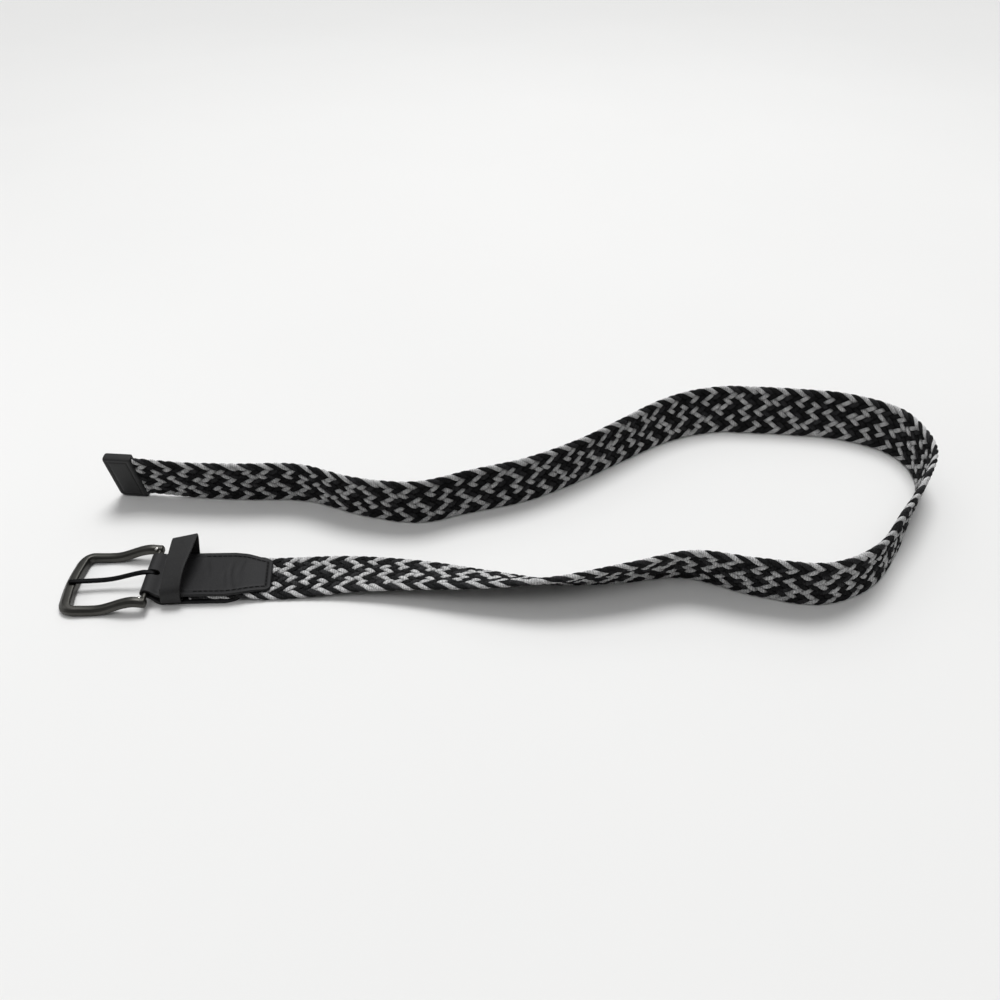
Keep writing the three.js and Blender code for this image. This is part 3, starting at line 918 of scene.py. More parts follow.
@dataclass
class Buckle:
    """The frame with its bar, and the prong."""

    shared: Leather = field(default_factory=Leather)
    rail_width: float = 5.2
    rail_height: float = 5.2
    rail_space: float = 2.0
    rail_tail: float = 1.0
    rail_nose: float = 1.4
    reach: float = 50.6
    bow: float = 1.0
    corner: float = 8.5
    rise: float = 5.6
    dip: float = 0.8
    front_lift: float = 0.8
    front_width: float = 7.4
    bar_radius: float = 1.5
    notch_depth: float = 0.9
    prong_width: float = 2.8
    prong_height: float = 2.0
    prong_wall: float = 1.3
    prong_short: float = 3.0
    prong_offset: float = 0.3
    prong_lean: float = 1.8
    frame_stations: int = 170
    notch_stations: int = 34
    notch_reach: float = 5.0
    ring_soft: float = 0.35
    pin_ahead: float = 1.6
    pin_profile: Sequence[tuple[float, float]] = (
        # radius, and height over the shoulder
        (1.15, -0.6),
        (1.1, 0.05),
        (0.85, 0.3),
        (0.5, 0.42),
        (0.12, 0.46),
    )
    prong_tip: Sequence[tuple[float, float]] = (
        # distance from the tip, and share of the full size
        (1.2, 0.99),
        (0.8, 0.94),
        (0.45, 0.84),
        (0.2, 0.68),
        (0.05, 0.45),
        (0.0, 0.2),
    )
    rail_section: Sequence[tuple[float, float]] = (
        (0, 0.15), (0.12, 0), (0.88, 0), (1, 0.12), (1, 0.7), (0.78, 1), (0.25, 1), (0, 0.6),
    )
    front_section: Sequence[tuple[float, float]] = (
        (0, 0.12), (0.06, 0), (0.94, 0), (1, 0.1), (1, 0.8), (0.9, 1), (0.38, 1), (0, 0.4),
    )
    prong_line: Sequence[tuple[float, float]] = (
        (0.0, 1.1), (0.09, 1.22), (0.18, 1.0), (0.3, 0.6), (0.42, 0.2),
        (0.55, -0.03), (0.7, -0.06), (0.84, 0.0), (0.95, 0.03), (1.0, -0.03),
    )

    def lift(self, ahead: np.ndarray) -> np.ndarray:
        """Height of the rails' underside at places ahead of the bar."""
        far = self.reach
        rise = 1 - smooth(ahead, 0.1 * far, 0.56 * far)
        dip = 1 - smooth(ahead, -self.rail_tail, 0.1 * far)
        front = smooth(ahead, 0.58 * far, 0.94 * far)
        return self.rise * rise - self.dip * dip + self.front_lift * front

    @property
    def bar_height(self) -> float:
        """Height of the bar's middle."""
        return float(self.lift(np.array(0.0))) + self.rail_height / 2

    @property
    def width(self) -> float:
        """Width of the frame."""
        return self.shared.tab_width + 2 * (self.rail_space + self.rail_width)

    @property
    def notch_floor(self) -> float:
        """Height of the notch's floor."""
        return self.front_lift + self.rail_height - self.notch_depth

    def _line(self) -> np.ndarray:
        """The middle line of the rails and the front, seen from above."""
        half = self.width / 2 - self.rail_width / 2
        reach = self.reach - self.rail_width / 2 - self.bow
        share = np.linspace(0, 1, 60)[:, None]

        def bend(start: tuple, turn: tuple, end: tuple) -> np.ndarray:
            """A smooth corner."""
            start, turn, end = map(np.array, (start, turn, end))
            return start * (1 - share) ** 2 + 2 * turn * share * (1 - share) + end * share**2

        low = (self.corner - reach, -half), (-reach, -half), (-reach, self.corner - half)
        high = (-reach, half - self.corner), (-reach, half), (self.corner - reach, half)
        bow = low[2], (-reach - 2 * self.bow, 0.0), high[0]
        start, end = np.array([[self.rail_tail, -half]]), np.array([[self.rail_tail, half]])
        return np.concatenate([start, bend(*low), bend(*bow)[1:], bend(*high)[1:], end])

    def _frame_rings(self) -> np.ndarray:
        """The rails and the front.

        Returns:
            Their rings of points, from the tail of one rail to the tail of the other.
        """
        line = self._line()
        total = lengths(line)[-1]
        middle = total / 2
        even = np.linspace(0, total, self.frame_stations)
        fine = middle + np.linspace(-self.notch_reach, self.notch_reach, self.notch_stations)
        away = np.abs(even - middle) > self.notch_reach + 0.2
        stations = np.unique(np.concatenate([even[away], fine]))
        q = np.sin(np.linspace(0.02, 1, 8)[::-1] * np.pi / 2 * 0.98)
        nose = np.sqrt(1 - q**2)
        far = np.concatenate([0 * q, stations, total + 0 * q])
        past = np.concatenate([-q, 0 * stations, q[::-1]]) * self.rail_nose
        size = np.concatenate([nose, 1 + 0 * stations, nose[::-1]])
        at = read_line(line, far)
        ahead = read_line(line, np.minimum(far + 0.2, total))
        along = unit(ahead - read_line(line, np.maximum(far - 0.2, 0)))
        point = at + along * past[:, None]
        reach = self.reach - self.rail_width / 2 - self.bow
        front = smooth(-point[:, 0], reach - self.front_width, reach)[:, None]
        rail = rounded(np.array(self.rail_section, float))
        nearest = rounded(np.array(self.front_section, float))
        out, up = [rail[:, k] * (1 - front) + nearest[:, k] * front for k in range(2)]
        width = self.rail_width * (1 - front) + self.front_width * front
        scale = size[:, None]
        edge = self.rail_width / 2 * scale - out * width * scale
        floor = self.lift(-point[:, 0])[:, None] + self.rail_height * (1 - scale) / 2
        height = floor + up * self.rail_height * scale
        outer = np.stack([-along[:, 1], along[:, 0]], 1)
        place = point[:, None] + outer[:, None] * edge[..., None]
        return np.concatenate([place, height[..., None]], -1)

    def _notched(self, rings: np.ndarray) -> np.ndarray:
        """The rings with the notch pressed into the front."""
        lean = self.prong_lean / (self.reach - self.prong_short)
        ahead, across = -rings[..., 0], rings[..., 1]
        aside = np.abs(across + self.prong_offset + lean * ahead)
        shoulder = smooth(aside, self.prong_width / 2 + 0.4, self.prong_width / 2 + 1.5)
        ceiling = self.notch_floor + shoulder * (self.notch_depth + 0.4)
        at_front = ahead > self.reach - self.front_width - 3
        rings[..., 2] = np.where(at_front, np.minimum(rings[..., 2], ceiling), rings[..., 2])
        return rings

    def _disc(self, radius: np.ndarray, across: np.ndarray, sides: int) -> np.ndarray:
        """Rings round the bar's line.

        Args:
            radius: each ring's radius.
            across: each ring's place across the buckle.
            sides: how many points each has.

        Returns:
            The rings.
        """
        angle = np.linspace(0, 2 * np.pi, sides, endpoint=False)
        x = radius[:, None] * np.cos(angle)
        z = self.bar_height + radius[:, None] * np.sin(angle)
        y = across[:, None] + 0 * x
        return np.stack([x, y, z], -1)

    def build_frame(self, palette: Palette) -> bpy.types.Object:
        """The frame and its bar.

        Args:
            palette: the belt's finishes.

        Returns:
            The piece.
        """
        reach = self.width / 2 - self.rail_width / 2
        bar = self._disc(np.full(2, self.bar_radius), np.array([-reach, reach]), 32)
        rings = self._notched(self._frame_rings())
        points, quads, ends = joined([(rings, False), (bar, False)])
        piece = make_piece("frame_with_bar", points, quads, ends, sharp=50)
        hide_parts("buckle_frame")
        dress(piece, palette.gunmetal.material(), "buckle")
        return piece

    def build_rivets(self, palette: Palette) -> bpy.types.Object:
        """The ends of the bar's pin, on the inner shoulder of each rail, in a bright metal that partly
        paints a highlight there.

        Args:
            palette: the belt's finishes.

        Returns:
            The piece.
        """
        profile = np.array(self.pin_profile)
        ahead = self.pin_ahead
        top = float(self.lift(np.array(ahead))) + self.rail_height * 0.9
        angle = np.linspace(0, 2 * np.pi, 20, endpoint=False)
        tubes = []
        for way in (1.0, -1.0):
            lean = np.array([0.0, -way * 0.5, 0.866])
            right = np.array([1.0, 0.0, 0.0])
            turn = np.cross(lean, right)
            middle = np.array([-ahead, way * (self.width / 2 - self.rail_width * 0.84), top])
            circle = right * np.cos(angle)[:, None] + turn * np.sin(angle)[:, None]
            rings = middle + profile[:, 0, None, None] * circle + profile[:, 1, None, None] * lean
            tubes.append((rings, False))
        points, quads, ends = joined(tubes)
        piece = make_piece("bar_pin_ends", points, quads, ends)
        dress(piece, palette.bright.material(), "buckle")
        return piece

    def build_prong(self, palette: Palette) -> bpy.types.Object:
        """The prong with its ring round the bar.

        Args:
            palette: the belt's finishes.

        Returns:
            The piece.
        """
        reach = self.reach - self.prong_short
        ring_radius = self.bar_radius + self.shared.swing_gap + self.prong_wall
        rest = self.notch_floor + self.shared.seat_gap + self.prong_height / 2
        top = self.bar_height + ring_radius - self.prong_height / 2
        rows = np.array(self.prong_line)
        heights = rest + (top - rest) * rows[:, 1]
        knots = np.stack([-rows[:, 0] * reach, -rows[:, 0] * self.prong_lean, heights], 1)
        line = spline(knots, 24)
        total = lengths(line)[-1]
        tip = np.array(self.prong_tip)
        arm_stations = 70
        stations = np.concatenate([np.linspace(0, total - 1.6, arm_stations), total - tip[:, 0]])
        size = np.concatenate([np.ones(arm_stations), tip[:, 1]])
        centre = read_line(line, stations)
        ahead = unit(np.gradient(centre, axis=0))
        side = unit(np.cross(ahead, UP))
        face = np.cross(side, ahead)
        half, high = self.prong_width / 2, self.prong_height / 2
        shoulder = [(half, -high), (half, high * 0.75), (half * 0.55, high)]
        corners = np.array(shoulder + [(-x, y) for x, y in shoulder[::-1]])
        section = rounded(corners, 0.3)
        across = section[None, :, :1] * size[:, None, None]
        out = section[None, :, 1:] * size[:, None, None]
        arm = centre[:, None] + side[:, None] * across + face[:, None] * out
        bore = self.bar_radius + self.shared.swing_gap
        soft = self.ring_soft
        outer = [ring_radius - soft, ring_radius, ring_radius, ring_radius - soft]
        radii = [bore, bore, bore + soft, *outer, bore + soft]
        sides = [half - soft, -half + soft, -half, -half, -half + soft, half - soft, half, half]
        ring = self._disc(np.array(radii), np.array(sides), 40)
        points, quads, ends = joined([(arm, False), (ring, True)])
        points = points - (0, self.prong_offset, 0)
        piece = make_piece("prong_and_ring", points, quads, ends, sharp=50)
        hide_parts("prong")
        dress(piece, palette.steel.material(), "tongue")
        return piece


# The leather tab


@dataclass
class Tab:
    """The strip of leather folded round the bar, with its crease, its stitches and its slot."""

    line: BeltLine
    buckle: Buckle
    upper_taper: float = 24.0
    lower_taper: float = 8.0
    end_skew: float = 2.2
    fold_inset: float = 1.8
    fold_thickness: float = 1.3
    slot_room: float = 2.0
    crease_inset: float = 2.9
    crease_depth: float = 0.42
    crease_width: float = 0.5
    row_place: float = 7.6
    row_reach: float = 13.4
    row_pitch: float = 6.7
    stitch_start: float = 27.0
    stitch_pitch: float = 3.1
    stitch_length: float = 2.5
    thread_radius: float = 0.31
    edge_radius: float = 0.35
    edge_band: float = 4.6
    upper_shape: Sequence[tuple[float, float]] = (
        (0, 1), (0.3, 0.94), (0.7, 0.79), (0.86, 0.75), (0.95, 0.69), (1, 0.58),
    )
    lower_shape: Sequence[tuple[float, float]] = ((0, 1), (0.6, 0.92), (0.85, 0.82), (1, 0.66))
    folds: Sequence[tuple[float, ...]] = (
        # distance from the bar, lean, bow, from and to across the tab, and depth
        (45.5, 0.12, 0.012, -9.0, 15.5, 0.3),
        (42.0, 0.1, 0.01, -3.0, 13.0, 0.2),
        (50.5, -0.2, -0.004, -13.0, 2.0, 0.16),
        (33.0, 0.3, 0.0, -15.0, 4.0, 0.16),
    )
    insets: Sequence[float] = (
        0.35, 0.8, 1.5, 2.1, 2.45, 2.7, 2.9, 3.1, 3.35, 3.8, 4.6, 6.0, 8.0, 10.5, 13.2, 15.8,
    )

    def half_width(self, distance: np.ndarray, upper: np.ndarray) -> np.ndarray:
        """Half the strip's width.

        Args:
            distance: distances from the bar.
            upper: whether each is on the upper layer.

        Returns:
            The half widths.
        """
        shared = self.line.shared
        fold = shared.tab_width / 2 - self.fold_inset * (1 - smooth(distance, 0, shared.fold_run))
        shares = []
        for length, taper, shape in (
            (shared.lower_length, self.lower_taper, self.lower_shape),
            (shared.upper_length, self.upper_taper, self.upper_shape),
        ):
            rows = np.array(shape)
            shares.append(np.interp((distance - length + taper) / taper, rows[:, 0], rows[:, 1]))
        return fold * np.where(upper, shares[1], shares[0])

    def _strip(self) -> tuple[np.ndarray, np.ndarray, np.ndarray]:
        """The strip's middle line, from the end of its lower layer to the end of its upper one.

        Returns:
            Distances from the bar, heights, and whether each station is past the fold.
        """
        shared, buckle = self.line.shared, self.buckle
        low = shared.tab_thickness / 2
        out = buckle.bar_radius + shared.swing_gap + self.fold_thickness / 2
        run = shared.fold_run
        ends = [0.0, 0.12, 0.4, 0.8, 1.4, 2.0, 2.35, 2.65, 2.9, 3.15, 3.5, 4.2]
        lower = shared.lower_length - np.concatenate([ends, np.arange(5.5, shared.lower_length - run, 1.4)])
        turn = run * np.linspace(1, 0, 10)[:-1]
        angle = np.linspace(0, np.pi, 17)
        back = run * np.linspace(0, 1, 10)[1:]
        upper = shared.upper_length - np.concatenate([ends, np.arange(5.2, shared.upper_length - run, 1.1)])
        upper = upper[::-1]
        _, centre, thickness = self.line.strap(np.concatenate([[run], upper]))
        heights = centre[:, 2] + thickness / 2 + shared.seat_gap + low
        bar = buckle.bar_height
        parts = [
            (lower, low + 0 * lower),
            (turn, (bar - out) + (low - bar + out) * smooth(turn / run, 0, 1)),
            (-out * np.sin(angle), bar - out * np.cos(angle)),
            (back, (bar + out) + (heights[0] - bar - out) * smooth(back / run, 0, 1)),
            (upper, heights[1:]),
        ]
        distance = np.concatenate([part[0] for part in parts])
        height = np.concatenate([part[1] for part in parts])
        past = np.concatenate([np.full(len(part[0]), i >= 2) for i, part in enumerate(parts)])
        return distance, height, past

    def _groove(self, inset: np.ndarray) -> np.ndarray:
        """Depth of the crease at distances in from the strip's outline."""
        return self.crease_depth * np.exp(-(((inset - self.crease_inset) / self.crease_width) ** 2))

    def _wrinkles(self, distance: np.ndarray, across: np.ndarray) -> np.ndarray:
        """Depth of the soft folds across the upper layer.

        Args:
            distance: distances from the bar.
            across: places across the tab.

        Returns:
            The depths.
        """
        relief = np.zeros(np.broadcast(distance, across).shape)
        for at, lean, bow, start, end, depth in self.folds:
            line = at + lean * across + bow * across**2
            shown = smooth(across, start, start + 4) * (1 - smooth(across, end - 4, end))
            relief += depth * shown * np.exp(-(((distance - line) / 0.9) ** 2))
            relief -= depth * 0.5 * shown * np.exp(-(((distance - line - 1.9) / 1.2) ** 2))
        return relief

    def build(self, palette: Palette) -> bpy.types.Object:
        """The tab with its slot cut.

        Args:
            palette: the belt's finishes.

        Returns:
            The piece.
        """
        shared = self.line.shared
        distance, height, past = self._strip()
        places = self.line.at(distance)
        half = self.half_width(distance, past)
        flat = smooth(distance, 0, shared.fold_run)
        thick = (self.fold_thickness + (shared.tab_thickness - self.fold_thickness) * flat) / 2
        run = np.gradient(distance)[:, None] * places.ahead + np.gradient(height)[:, None] * UP
        across_way = np.cross(places.ahead, UP)
        face = np.cross(across_way, unit(run))
        skew = smooth(distance, shared.upper_length - self.upper_taper, shared.upper_length) * past
        across_way = across_way + places.ahead * (skew * self.end_skew / shared.tab_width)[:, None]
        insets = np.array(self.insets)
        lanes = np.concatenate([insets, [shared.tab_width / 2], -insets[::-1] - 1e-9])
        band, off_edge = self.edge_band, np.abs(lanes)
        inner = (shared.tab_width / 2 - off_edge) / (shared.tab_width / 2 - band) * (half[:, None] - band)
        wide = np.where(off_edge <= band, half[:, None] - off_edge, inner) * np.where(lanes > 0, 1.0, -1.0)
        wide[:, len(insets)] = 0.0
        end = np.where(past, shared.upper_length - distance, shared.lower_length - distance)[:, None]
        inset = np.minimum(half[:, None] - np.abs(wide), end)
        bend = smooth(distance, 2.0, 12.0)[:, None]
        relief = self._groove(inset) * bend + self._wrinkles(distance[:, None], wide) * past[:, None]
        end_soft = np.sqrt(np.clip(1 - (1 - np.clip(end / 0.8, 0, 1)) ** 2, 0.02, 1))
        top = thick[:, None] * end_soft - relief
        angles = np.linspace(np.pi / 2, -np.pi / 2, 7)[1:-1]
        rim = self.edge_radius
        edge_out = (half[:, None] - rim) + rim * np.cos(angles)
        edge_up = thick[:, None] * end_soft * np.sign(np.sin(angles)) * np.abs(np.sin(angles)) ** 0.5
        low_wide = wide[:, ::-1][:, ::2]
        low = -thick[:, None] * end_soft + 0 * low_wide
        ring_across = np.concatenate([wide, -edge_out, low_wide, edge_out[:, ::-1]], 1)
        ring_out = np.concatenate([top, edge_up, low, edge_up[:, ::-1]], 1)
        centre = places.point + height[:, None] * UP
        rings = centre[:, None] + across_way[:, None] * ring_across[..., None]
        rings = rings + face[:, None] * ring_out[..., None]
        points, quads, ends = joined([(rings, False)])
        piece = make_piece("folded_tab", points, quads, ends, sharp=60)
        cut(piece, self._slot())
        piece.data.shade_smooth()
        piece.data.set_sharp_from_angle(angle=math.radians(55))
        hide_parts("tab")
        dress(piece, palette.leather.material(), "belt")
        return piece

    def _slot(self) -> bpy.types.Object:
        """The room that the prong's slot takes."""
        buckle, shared = self.buckle, self.line.shared
        ring = buckle.bar_radius + shared.swing_gap + buckle.prong_wall
        half = buckle.prong_width / 2 + 2 * shared.swing_gap
        back = ring + self.slot_room - half
        angle = np.linspace(-np.pi / 2, np.pi / 2, 16)
        x = np.concatenate([[-2 * ring], back + half * np.cos(angle), [-2 * ring]])
        y = np.concatenate([[-half], half * np.sin(angle), [half]]) - buckle.prong_offset
        levels = buckle.bar_height + np.array([-12.0, 12.0])
        rings = np.stack([np.stack([x, y, z + 0 * x], -1) for z in levels])
        points, quads, ends = joined([(rings, False)])
        return make_piece("slot_room", points, quads, ends)

    def build_stitches(self, palette: Palette) -> bpy.types.Object:
        """The stitches in the crease of the upper layer, and beside the keeper.

        Args:
            palette: the belt's finishes.

        Returns:
            The piece.
        """
        shared = self.line.shared
        start, stop = self.stitch_start, shared.upper_length - self.crease_inset
        sides = []
        for way in (1.0, -1.0):
            far = np.linspace(start, stop, 80)
            half = self.half_width(far, np.ones_like(far, bool)) - self.crease_inset
            sides.append(np.stack([far, half * way], 1))
        path = np.concatenate([sides[0], sides[1][::-1]])
        total = lengths(path)[-1]
        pitch, length, radius = self.stitch_pitch, self.stitch_length, self.thread_radius
        tubes = []
        for number in range(int(total / pitch)):
            along = number * pitch + np.linspace(0, length, 7)
            spot = read_line(path, along)
            places = self.line.at(spot[:, 0])
            _, centre, thickness = self.line.strap(spot[:, 0])
            level = centre[:, 2] + thickness / 2 + shared.seat_gap + shared.tab_thickness
            dive = np.array([-0.75, -0.3, -0.16, -0.12, -0.16, -0.3, -0.75])
            skew = smooth(spot[:, 0], shared.upper_length - self.upper_taper, shared.upper_length)
            side = np.cross(places.ahead, UP)
            side = side + places.ahead * (skew * self.end_skew / shared.tab_width)[:, None]
            line = places.point + side * spot[:, 1:2] + (level + dive)[:, None] * UP
            tubes.append((self._thread(line, radius), False))
        for across in np.arange(-self.row_reach, self.row_reach + 0.6, self.row_pitch):
            far = self.row_place + np.linspace(-0.25, 0.25, 7)
            spot = np.stack([far, across + np.linspace(-0.9, 0.9, 7)], 1)
            places = self.line.at(spot[:, 0])
            level = self._row_level() + np.array([-0.7, -0.1, 0.08, 0.12, 0.08, -0.1, -0.7])
            line = places.point + np.cross(places.ahead, UP) * spot[:, 1:2] + level[:, None] * UP
            tubes.append((self._thread(line, radius), False))
        points, quads, ends = joined(tubes)
        piece = make_piece("tab_stitches", points, quads, ends, self._thread_map(len(quads)), 180)
        dress(piece, palette.thread.material(), "belt")
        return piece

    def _row_level(self) -> float:
        """Height of the tab's upper face at the row of stitches before the keeper."""
        shared, buckle = self.line.shared, self.buckle
        out = buckle.bar_radius + shared.swing_gap + self.fold_thickness / 2
        share = float(smooth(np.array(self.row_place), 0, shared.fold_run))
        middle = shared.tab_top - shared.tab_thickness / 2
        height = (buckle.bar_height + out) * (1 - share) + middle * share
        return height + (self.fold_thickness * (1 - share) + shared.tab_thickness * share) / 2

    @staticmethod
    def _thread(line: np.ndarray, radius: float) -> np.ndarray:
        """A thread along a short line.

        Args:
            line: its middle line.
            radius: its radius.

        Returns:
            Its rings of points.
        """
        ahead = unit(np.gradient(line, axis=0))
        side = unit(np.cross(ahead, UP))
        face = np.cross(side, ahead)
        angle = np.linspace(0, 2 * np.pi, THREAD_SIDES, endpoint=False)[None, :, None]
        ring = side[:, None] * np.cos(angle) + face[:, None] * np.sin(angle)
        return line[:, None] + ring * radius

    @staticmethod
    def _thread_map(quads: int) -> np.ndarray:
        """The map of the stitches: millimetres along, and turns around."""
        number = np.arange(quads)
        step, turn = 0.42, 1 / THREAD_SIDES
        along, around = (number // THREAD_SIDES % 6) * step, (number % THREAD_SIDES) * turn
        steps = np.array([[0, 0], [0, turn], [step, turn], [step, 0]])
        return (np.stack([along, around], 1)[:, None] + steps[None]).reshape(-1, 2).astype(np.float32)


# The keeper and the cap


@dataclass
class Keeper:
    """The closed band of leather that stands up over the tab."""

    shared: Leather = field(default_factory=Leather)
    thickness: float = 1.5
    width: float = 11.4
    far_width: float = 15.0
    room: float = 16.4
    lean: float = 2.0
    cant: float = 3.2
    foot: float = 1.8
    arch: Sequence[tuple[float, float, float]] = ((1.02, 1, 0.2), (-0.55, 0.82, 0.33), (-1, 0.52, 0.14))

    def _outline(self) -> tuple[np.ndarray, float, float, float]:
        """The band's middle line.

        Returns:
            The line across and up, and its half width, its floor and its top.
        """
        shared = self.shared
        half = shared.tab_width / 2 + shared.seat_gap + self.thickness / 2
        low = shared.tab_thickness + shared.seat_gap + self.thickness / 2
        high = shared.tab_top + self.room - self.thickness / 2 - self.cant / 2
        corners = [(-half, low, self.foot), (half, low, self.foot)]
        corners += [(across * half, up * high, round_ * high) for across, up, round_ in self.arch]
        line = []
        for i, (x, y, radius) in enumerate(corners):
            at = np.array([x, y])
            before = np.array(corners[i - 1][:2])
            after = np.array(corners[(i + 1) % len(corners)][:2])
            start, end = at + unit(before - at) * radius, at + unit(after - at) * radius
            share = np.linspace(0, 1, 13)[:, None]
            line.append(start * (1 - share) ** 2 + 2 * at * share * (1 - share) + end * share**2)
        return np.concatenate(line), half, low, high

    def build(self, palette: Palette) -> bpy.types.Object:
        """The keeper.

        Args:
            palette: the belt's finishes.

        Returns:
            The piece.
        """
        line, half, low, high = self._outline()
        closed = np.concatenate([line, line[:1]])
        total = lengths(closed)[-1]
        middle = read_line(closed, np.linspace(0, total, 150, endpoint=False))
        along = unit(np.roll(middle, -1, axis=0) - np.roll(middle, 1, axis=0))
        out = np.stack([0 * along[:, 0], along[:, 1], -along[:, 0]], 1)
        width = self.width + (self.far_width - self.width) * smooth(middle[:, 0], -half, half)
        start = self.shared.fold_run + self.shared.seat_gap
        raised = smooth(middle[:, 1], low, high)
        centre = np.stack([start + width / 2 + self.lean * raised, middle[:, 0], middle[:, 1]], 1)
        cant = self.cant / self.far_width * raised
        side = np.stack([np.ones_like(cant), 0 * cant, cant], 1)
        rim, thick = 0.4, self.thickness / 2
        angle = np.linspace(np.pi / 2, -np.pi / 2, 7)
        lanes = np.linspace(-1, 1, 9)
        sections = []
        for half_width in width / 2:
            flat = lanes * (half_width - rim)
            edge = half_width - rim + rim * np.cos(angle[1:-1])
            turn = thick * np.sign(np.sin(angle[1:-1])) * np.abs(np.sin(angle[1:-1])) ** 0.55
            across = np.concatenate([flat, edge, flat[::-1], -edge[::-1]])
            rise = np.concatenate([thick + 0 * flat, turn, -thick + 0 * flat, turn[::-1]])
            sections.append(np.stack([across, rise], 1))
        sections = np.stack(sections)
        rings = centre[:, None] + side[:, None] * sections[..., :1] + out[:, None] * sections[..., 1:]
        points, quads, ends = joined([(rings, True)])
        piece = make_piece("keeper_band", points, quads, ends, sharp=60)
        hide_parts("keeper")
        # The keeper takes the leather painted lighter for its dimmer upright faces.
        dress(piece, palette.upright.material(), "belt")
        return piece


@dataclass
class EndCap:
    """The envelope of leather over the strap's end."""

    line: BeltLine
    upper_corner: float = 2.2
    lower_corner: float = 4.5
    crease_inset: float = 3.0
    crease_depth: float = 0.34
    crease_width: float = 0.45
    mouth_corner: float = 0.6
    spine: float = 9.5
    edge_run: float = 0.9
    sink: float = 0.14
    insets: Sequence[float] = (0.0, 0.08, 0.25, 0.5, 0.9, 1.5, 2.1, 2.5, 2.8, 3.0, 3.2, 3.5, 3.9, 4.5)

    def _edge(self, inset: float) -> np.ndarray:
        """The cap's outline, taken in all round by an inset.

        Args:
            inset: how far in it is.

        Returns:
            Its points, as many and in the same order for every inset.
        """
        shared = self.line.shared
        half = shared.strap_width / 2 + shared.seat_gap + shared.cap_side - inset
        end = shared.cap_length - inset
        corners = [
            (inset, -half, self.mouth_corner),
            (end, -half, self.lower_corner),
            (end, half, self.upper_corner),
            (inset, half, self.mouth_corner),
        ]
        points = []
        for i, (x, y, radius) in enumerate(corners):
            at, tight = np.array([x, y]), max(radius - inset, 0.3)
            before, after = np.array(corners[i - 1][:2]), np.array(corners[(i + 1) % 4][:2])
            start, stop = at + unit(before - at) * tight, at + unit(after - at) * tight
            share = np.linspace(0, 1, 9)[:, None]
            points.append(start * (1 - share) ** 2 + 2 * at * share * (1 - share) + stop * share**2)
            beyond = corners[(i + 1) % 4]
            away = np.array(beyond[:2])
            away = away - unit(away - at) * max(beyond[2] - inset, 0.3)
            points.append(stop + (away - stop) * np.linspace(0, 1, 14)[1:-1, None])
        return np.concatenate(points)

    def build(self, palette: Palette) -> bpy.types.Object:
        """The cap with its pocket cut.

        Args:
            palette: the belt's finishes.

        Returns:
            The piece.
        """
        shared = self.line.shared
        thick = shared.pressed_thickness / 2 + shared.seat_gap + shared.cap_wall
        rings = []
        for inset in self.insets:
            swell = math.sqrt(max(0.0, 1 - (1 - min(inset / self.edge_run, 1)) ** 2)) ** 0.8
            groove = self.crease_depth * math.exp(-(((inset - self.crease_inset) / self.crease_width) ** 2))
            height = thick * (0.06 + 0.94 * swell) - self.sink * (1 - inset / self.insets[-1]) - groove
            ring = self._edge(inset)
            rings.append(np.concatenate([ring, np.full((len(ring), 1), height)], 1))
        last = rings[-1][:, :2]
        middle = np.clip(last[:, 1], -self.spine, self.spine)
        spine = np.stack([np.full(len(last), shared.cap_length / 2), middle], 1)
        for share in (0.25, 0.5, 0.75, 0.97):
            ring = last + (spine - last) * share
            rings.append(np.concatenate([ring, np.full((len(ring), 1), thick)], 1))
        front = np.stack(rings[::-1])
        back = front[::-1] * (1, 1, -1)
        shell = np.concatenate([front, back])
        spot = self.line.at([self.line.total])
        _, centre, _ = self.line.strap([self.line.total])
        basis = np.stack([spot.ahead[0], spot.side[0], spot.face[0]])
        points, quads, ends = joined([(shell @ basis + centre[0], False)])
        piece = make_piece("cap_envelope", points, quads, ends, sharp=60)
        room = self._pocket(basis, centre[0])
        cut(piece, room)
        piece.data.shade_smooth()
        piece.data.set_sharp_from_angle(angle=math.radians(50))
        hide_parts("end_cap")
        # The cap takes the leather painted lighter for its dimmer upright faces.
        dress(piece, palette.upright.material(), "belt")
        return piece

    def _pocket(self, basis: np.ndarray, centre: np.ndarray) -> bpy.types.Object:
        """The room inside the cap for the strap's end."""
        shared = self.line.shared
        half = shared.strap_width / 2 + shared.seat_gap
        deep = shared.pressed_thickness / 2 + shared.seat_gap
        ring = np.array([(-half, -deep), (half, -deep), (half, deep), (-half, deep)])
        levels = [-shared.cap_length, shared.cap_length - shared.cap_rim]
        rings = np.stack([np.concatenate([np.full((4, 1), x), ring], 1) for x in levels])
        points, quads, ends = joined([(rings @ basis + centre, False)])
        return make_piece("pocket_room", points, quads, ends)


# The studio


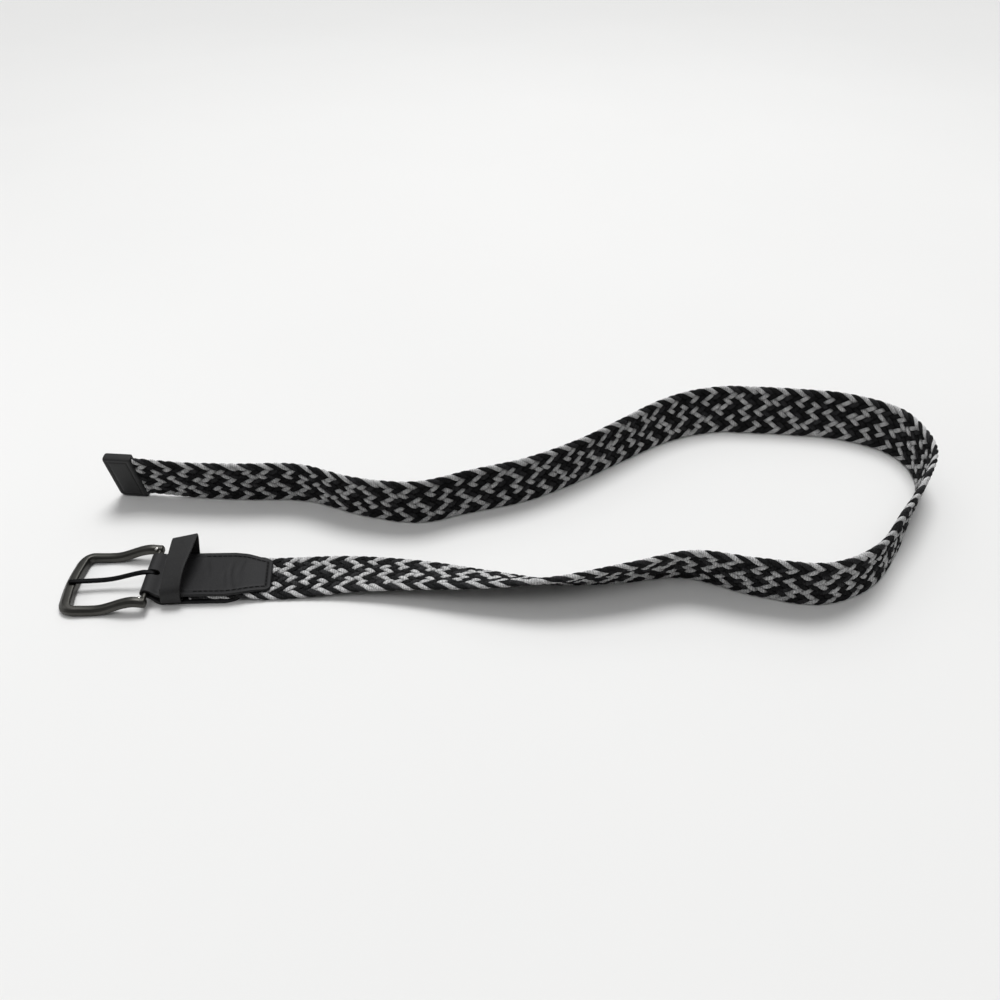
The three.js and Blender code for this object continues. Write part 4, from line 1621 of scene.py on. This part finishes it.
@dataclass
class Studio:
    """The pale table, the soft lights and the camera."""

    camera_place: tuple[float, float, float] = (-0.0397, -0.45059, 0.3702)
    camera_aim: tuple[float, float, float] = (-0.01363, 0.01576, 0.0)
    lens: float = 32.6
    surround: tuple[float, float] = (0.02, 0.46)
    bright_way: tuple[float, float, float] = (-0.2, 0.15, 0.968)
    suns: Sequence[tuple[str, tuple[float, float, float], float]] = (
        # name, where it comes from, and strength
        ("behind", (0.1, 0.42, 1.0), 1.9),
        ("front", (-0.1, -0.45, 1.0), 0.4),
    )
    sun_spread: float = 27.0
    areas: Sequence[tuple[str, tuple[float, float, float], tuple[float, float, float], float, float]] = (
        # name, where it is, where it points, size in metres and watts
        ("key", (0.1, 0.75, 1.15), (0.05, 0.05, 0.0), 1.3, 3.0),
        ("rim", (-0.85, -0.05, 0.3), (-0.27, -0.05, 0.0), 0.35, 0.5),
    )
    table_reach: float = 8.0

    def build(self) -> None:
        """Sets the stage."""
        self._floor()
        self._lights()
        self._camera()

    def _floor(self) -> None:
        """A broad pale table."""
        mesh = bpy.data.meshes.new("table")
        size = self.table_reach
        corners = [(-size, -size, 0), (size, -size, 0), (size, size, 0), (-size, size, 0)]
        mesh.from_pydata(corners, [], [(0, 1, 2, 3)])
        table = bpy.data.objects.new("table", mesh)
        bpy.context.scene.collection.objects.link(table)
        graph = Graph("pale_table")
        cloud = graph.noise(graph.place(), 3.0, 3.0)
        colour = graph.blend(cloud, (0.8, 0.8, 0.794, 1), (0.83, 0.83, 0.824, 1))
        constants = {"Roughness": 0.75, "Specular IOR Level": 0.2}
        mesh.materials.append(graph.finish(constants, {"Base Color": colour}))

    def _lights(self) -> None:
        """Two broad suns, two soft lamps and a surround that is pale overhead."""
        world = bpy.data.worlds.new("surround")
        world.use_nodes = True
        nodes, links = world.node_tree.nodes, world.node_tree.links
        nodes["Background"].inputs["Color"].default_value = (1.0, 1.0, 1.0, 1.0)
        way = nodes.new("ShaderNodeTexCoord")
        lean = nodes.new("ShaderNodeVectorMath")
        lean.operation = "DOT_PRODUCT"
        lean.inputs[1].default_value = self.bright_way
        level = nodes.new("ShaderNodeMapRange")
        level.inputs["From Min"].default_value = 0.0
        level.inputs["To Min"].default_value = self.surround[0]
        level.inputs["To Max"].default_value = self.surround[1]
        links.new(way.outputs["Generated"], lean.inputs[0])
        links.new(lean.outputs["Value"], level.inputs["Value"])
        links.new(level.outputs["Result"], nodes["Background"].inputs["Strength"])
        bpy.context.scene.world = world
        for name, place, power in self.suns:
            sun = bpy.data.lights.new(name, "SUN")
            sun.angle = math.radians(self.sun_spread)
            sun.energy = power
            holder = bpy.data.objects.new(name, sun)
            self._point(holder, place, (0.0, 0.0, 0.0))
            bpy.context.scene.collection.objects.link(holder)
        for name, place, aim, size, power in self.areas:
            light = bpy.data.lights.new(name, "AREA")
            light.shape = "DISK"
            light.size = size
            light.energy = power
            holder = bpy.data.objects.new(name, light)
            self._point(holder, place, aim)
            bpy.context.scene.collection.objects.link(holder)

    def _camera(self) -> None:
        """The camera at the photograph's angle."""
        camera = bpy.data.cameras.new("view")
        camera.lens = self.lens
        camera.sensor_width = 36.0
        camera.clip_start = 0.01
        camera.clip_end = 50.0
        holder = bpy.data.objects.new("view", camera)
        self._point(holder, self.camera_place, self.camera_aim)
        bpy.context.scene.collection.objects.link(holder)
        bpy.context.scene.camera = holder
        bpy.context.scene.view_settings.view_transform = "Standard"

    @staticmethod
    def _point(holder: bpy.types.Object, place: Sequence[float], aim: Sequence[float]) -> None:
        """Sets an object in place, looking at a point with its top up.

        Args:
            holder: the object.
            place: where it goes.
            aim: what it looks at.
        """
        ahead = unit(np.array(aim, float) - np.array(place, float))
        right = unit(np.cross(ahead, UP))
        upright = np.cross(right, ahead)
        rows = np.eye(4)
        rows[:3, 0], rows[:3, 1], rows[:3, 2], rows[:3, 3] = right, upright, -ahead, place
        holder.matrix_world = Matrix(rows.tolist())


def report(pieces: Sequence[bpy.types.Object]) -> None:
    """Logs each piece with its number of triangles."""
    for piece in pieces:
        piece.data.calc_loop_triangles()
        log.info("%s: %d triangles", piece.name, len(piece.data.loop_triangles))


def main() -> None:
    """Builds the studio and every piece of the belt."""
    logging.basicConfig(level=logging.INFO, format="%(message)s")
    Studio().build()
    line, palette = BeltLine(), Palette()
    buckle = Buckle()
    tab = Tab(line, buckle)
    report([buckle.build_frame(palette), buckle.build_rivets(palette), buckle.build_prong(palette)])
    report([tab.build(palette), tab.build_stitches(palette)])
    report([Keeper().build(palette), EndCap(line).build(palette)])
    report(BraidedStrap(line).build(palette))


if __name__ == "__main__":
    main()
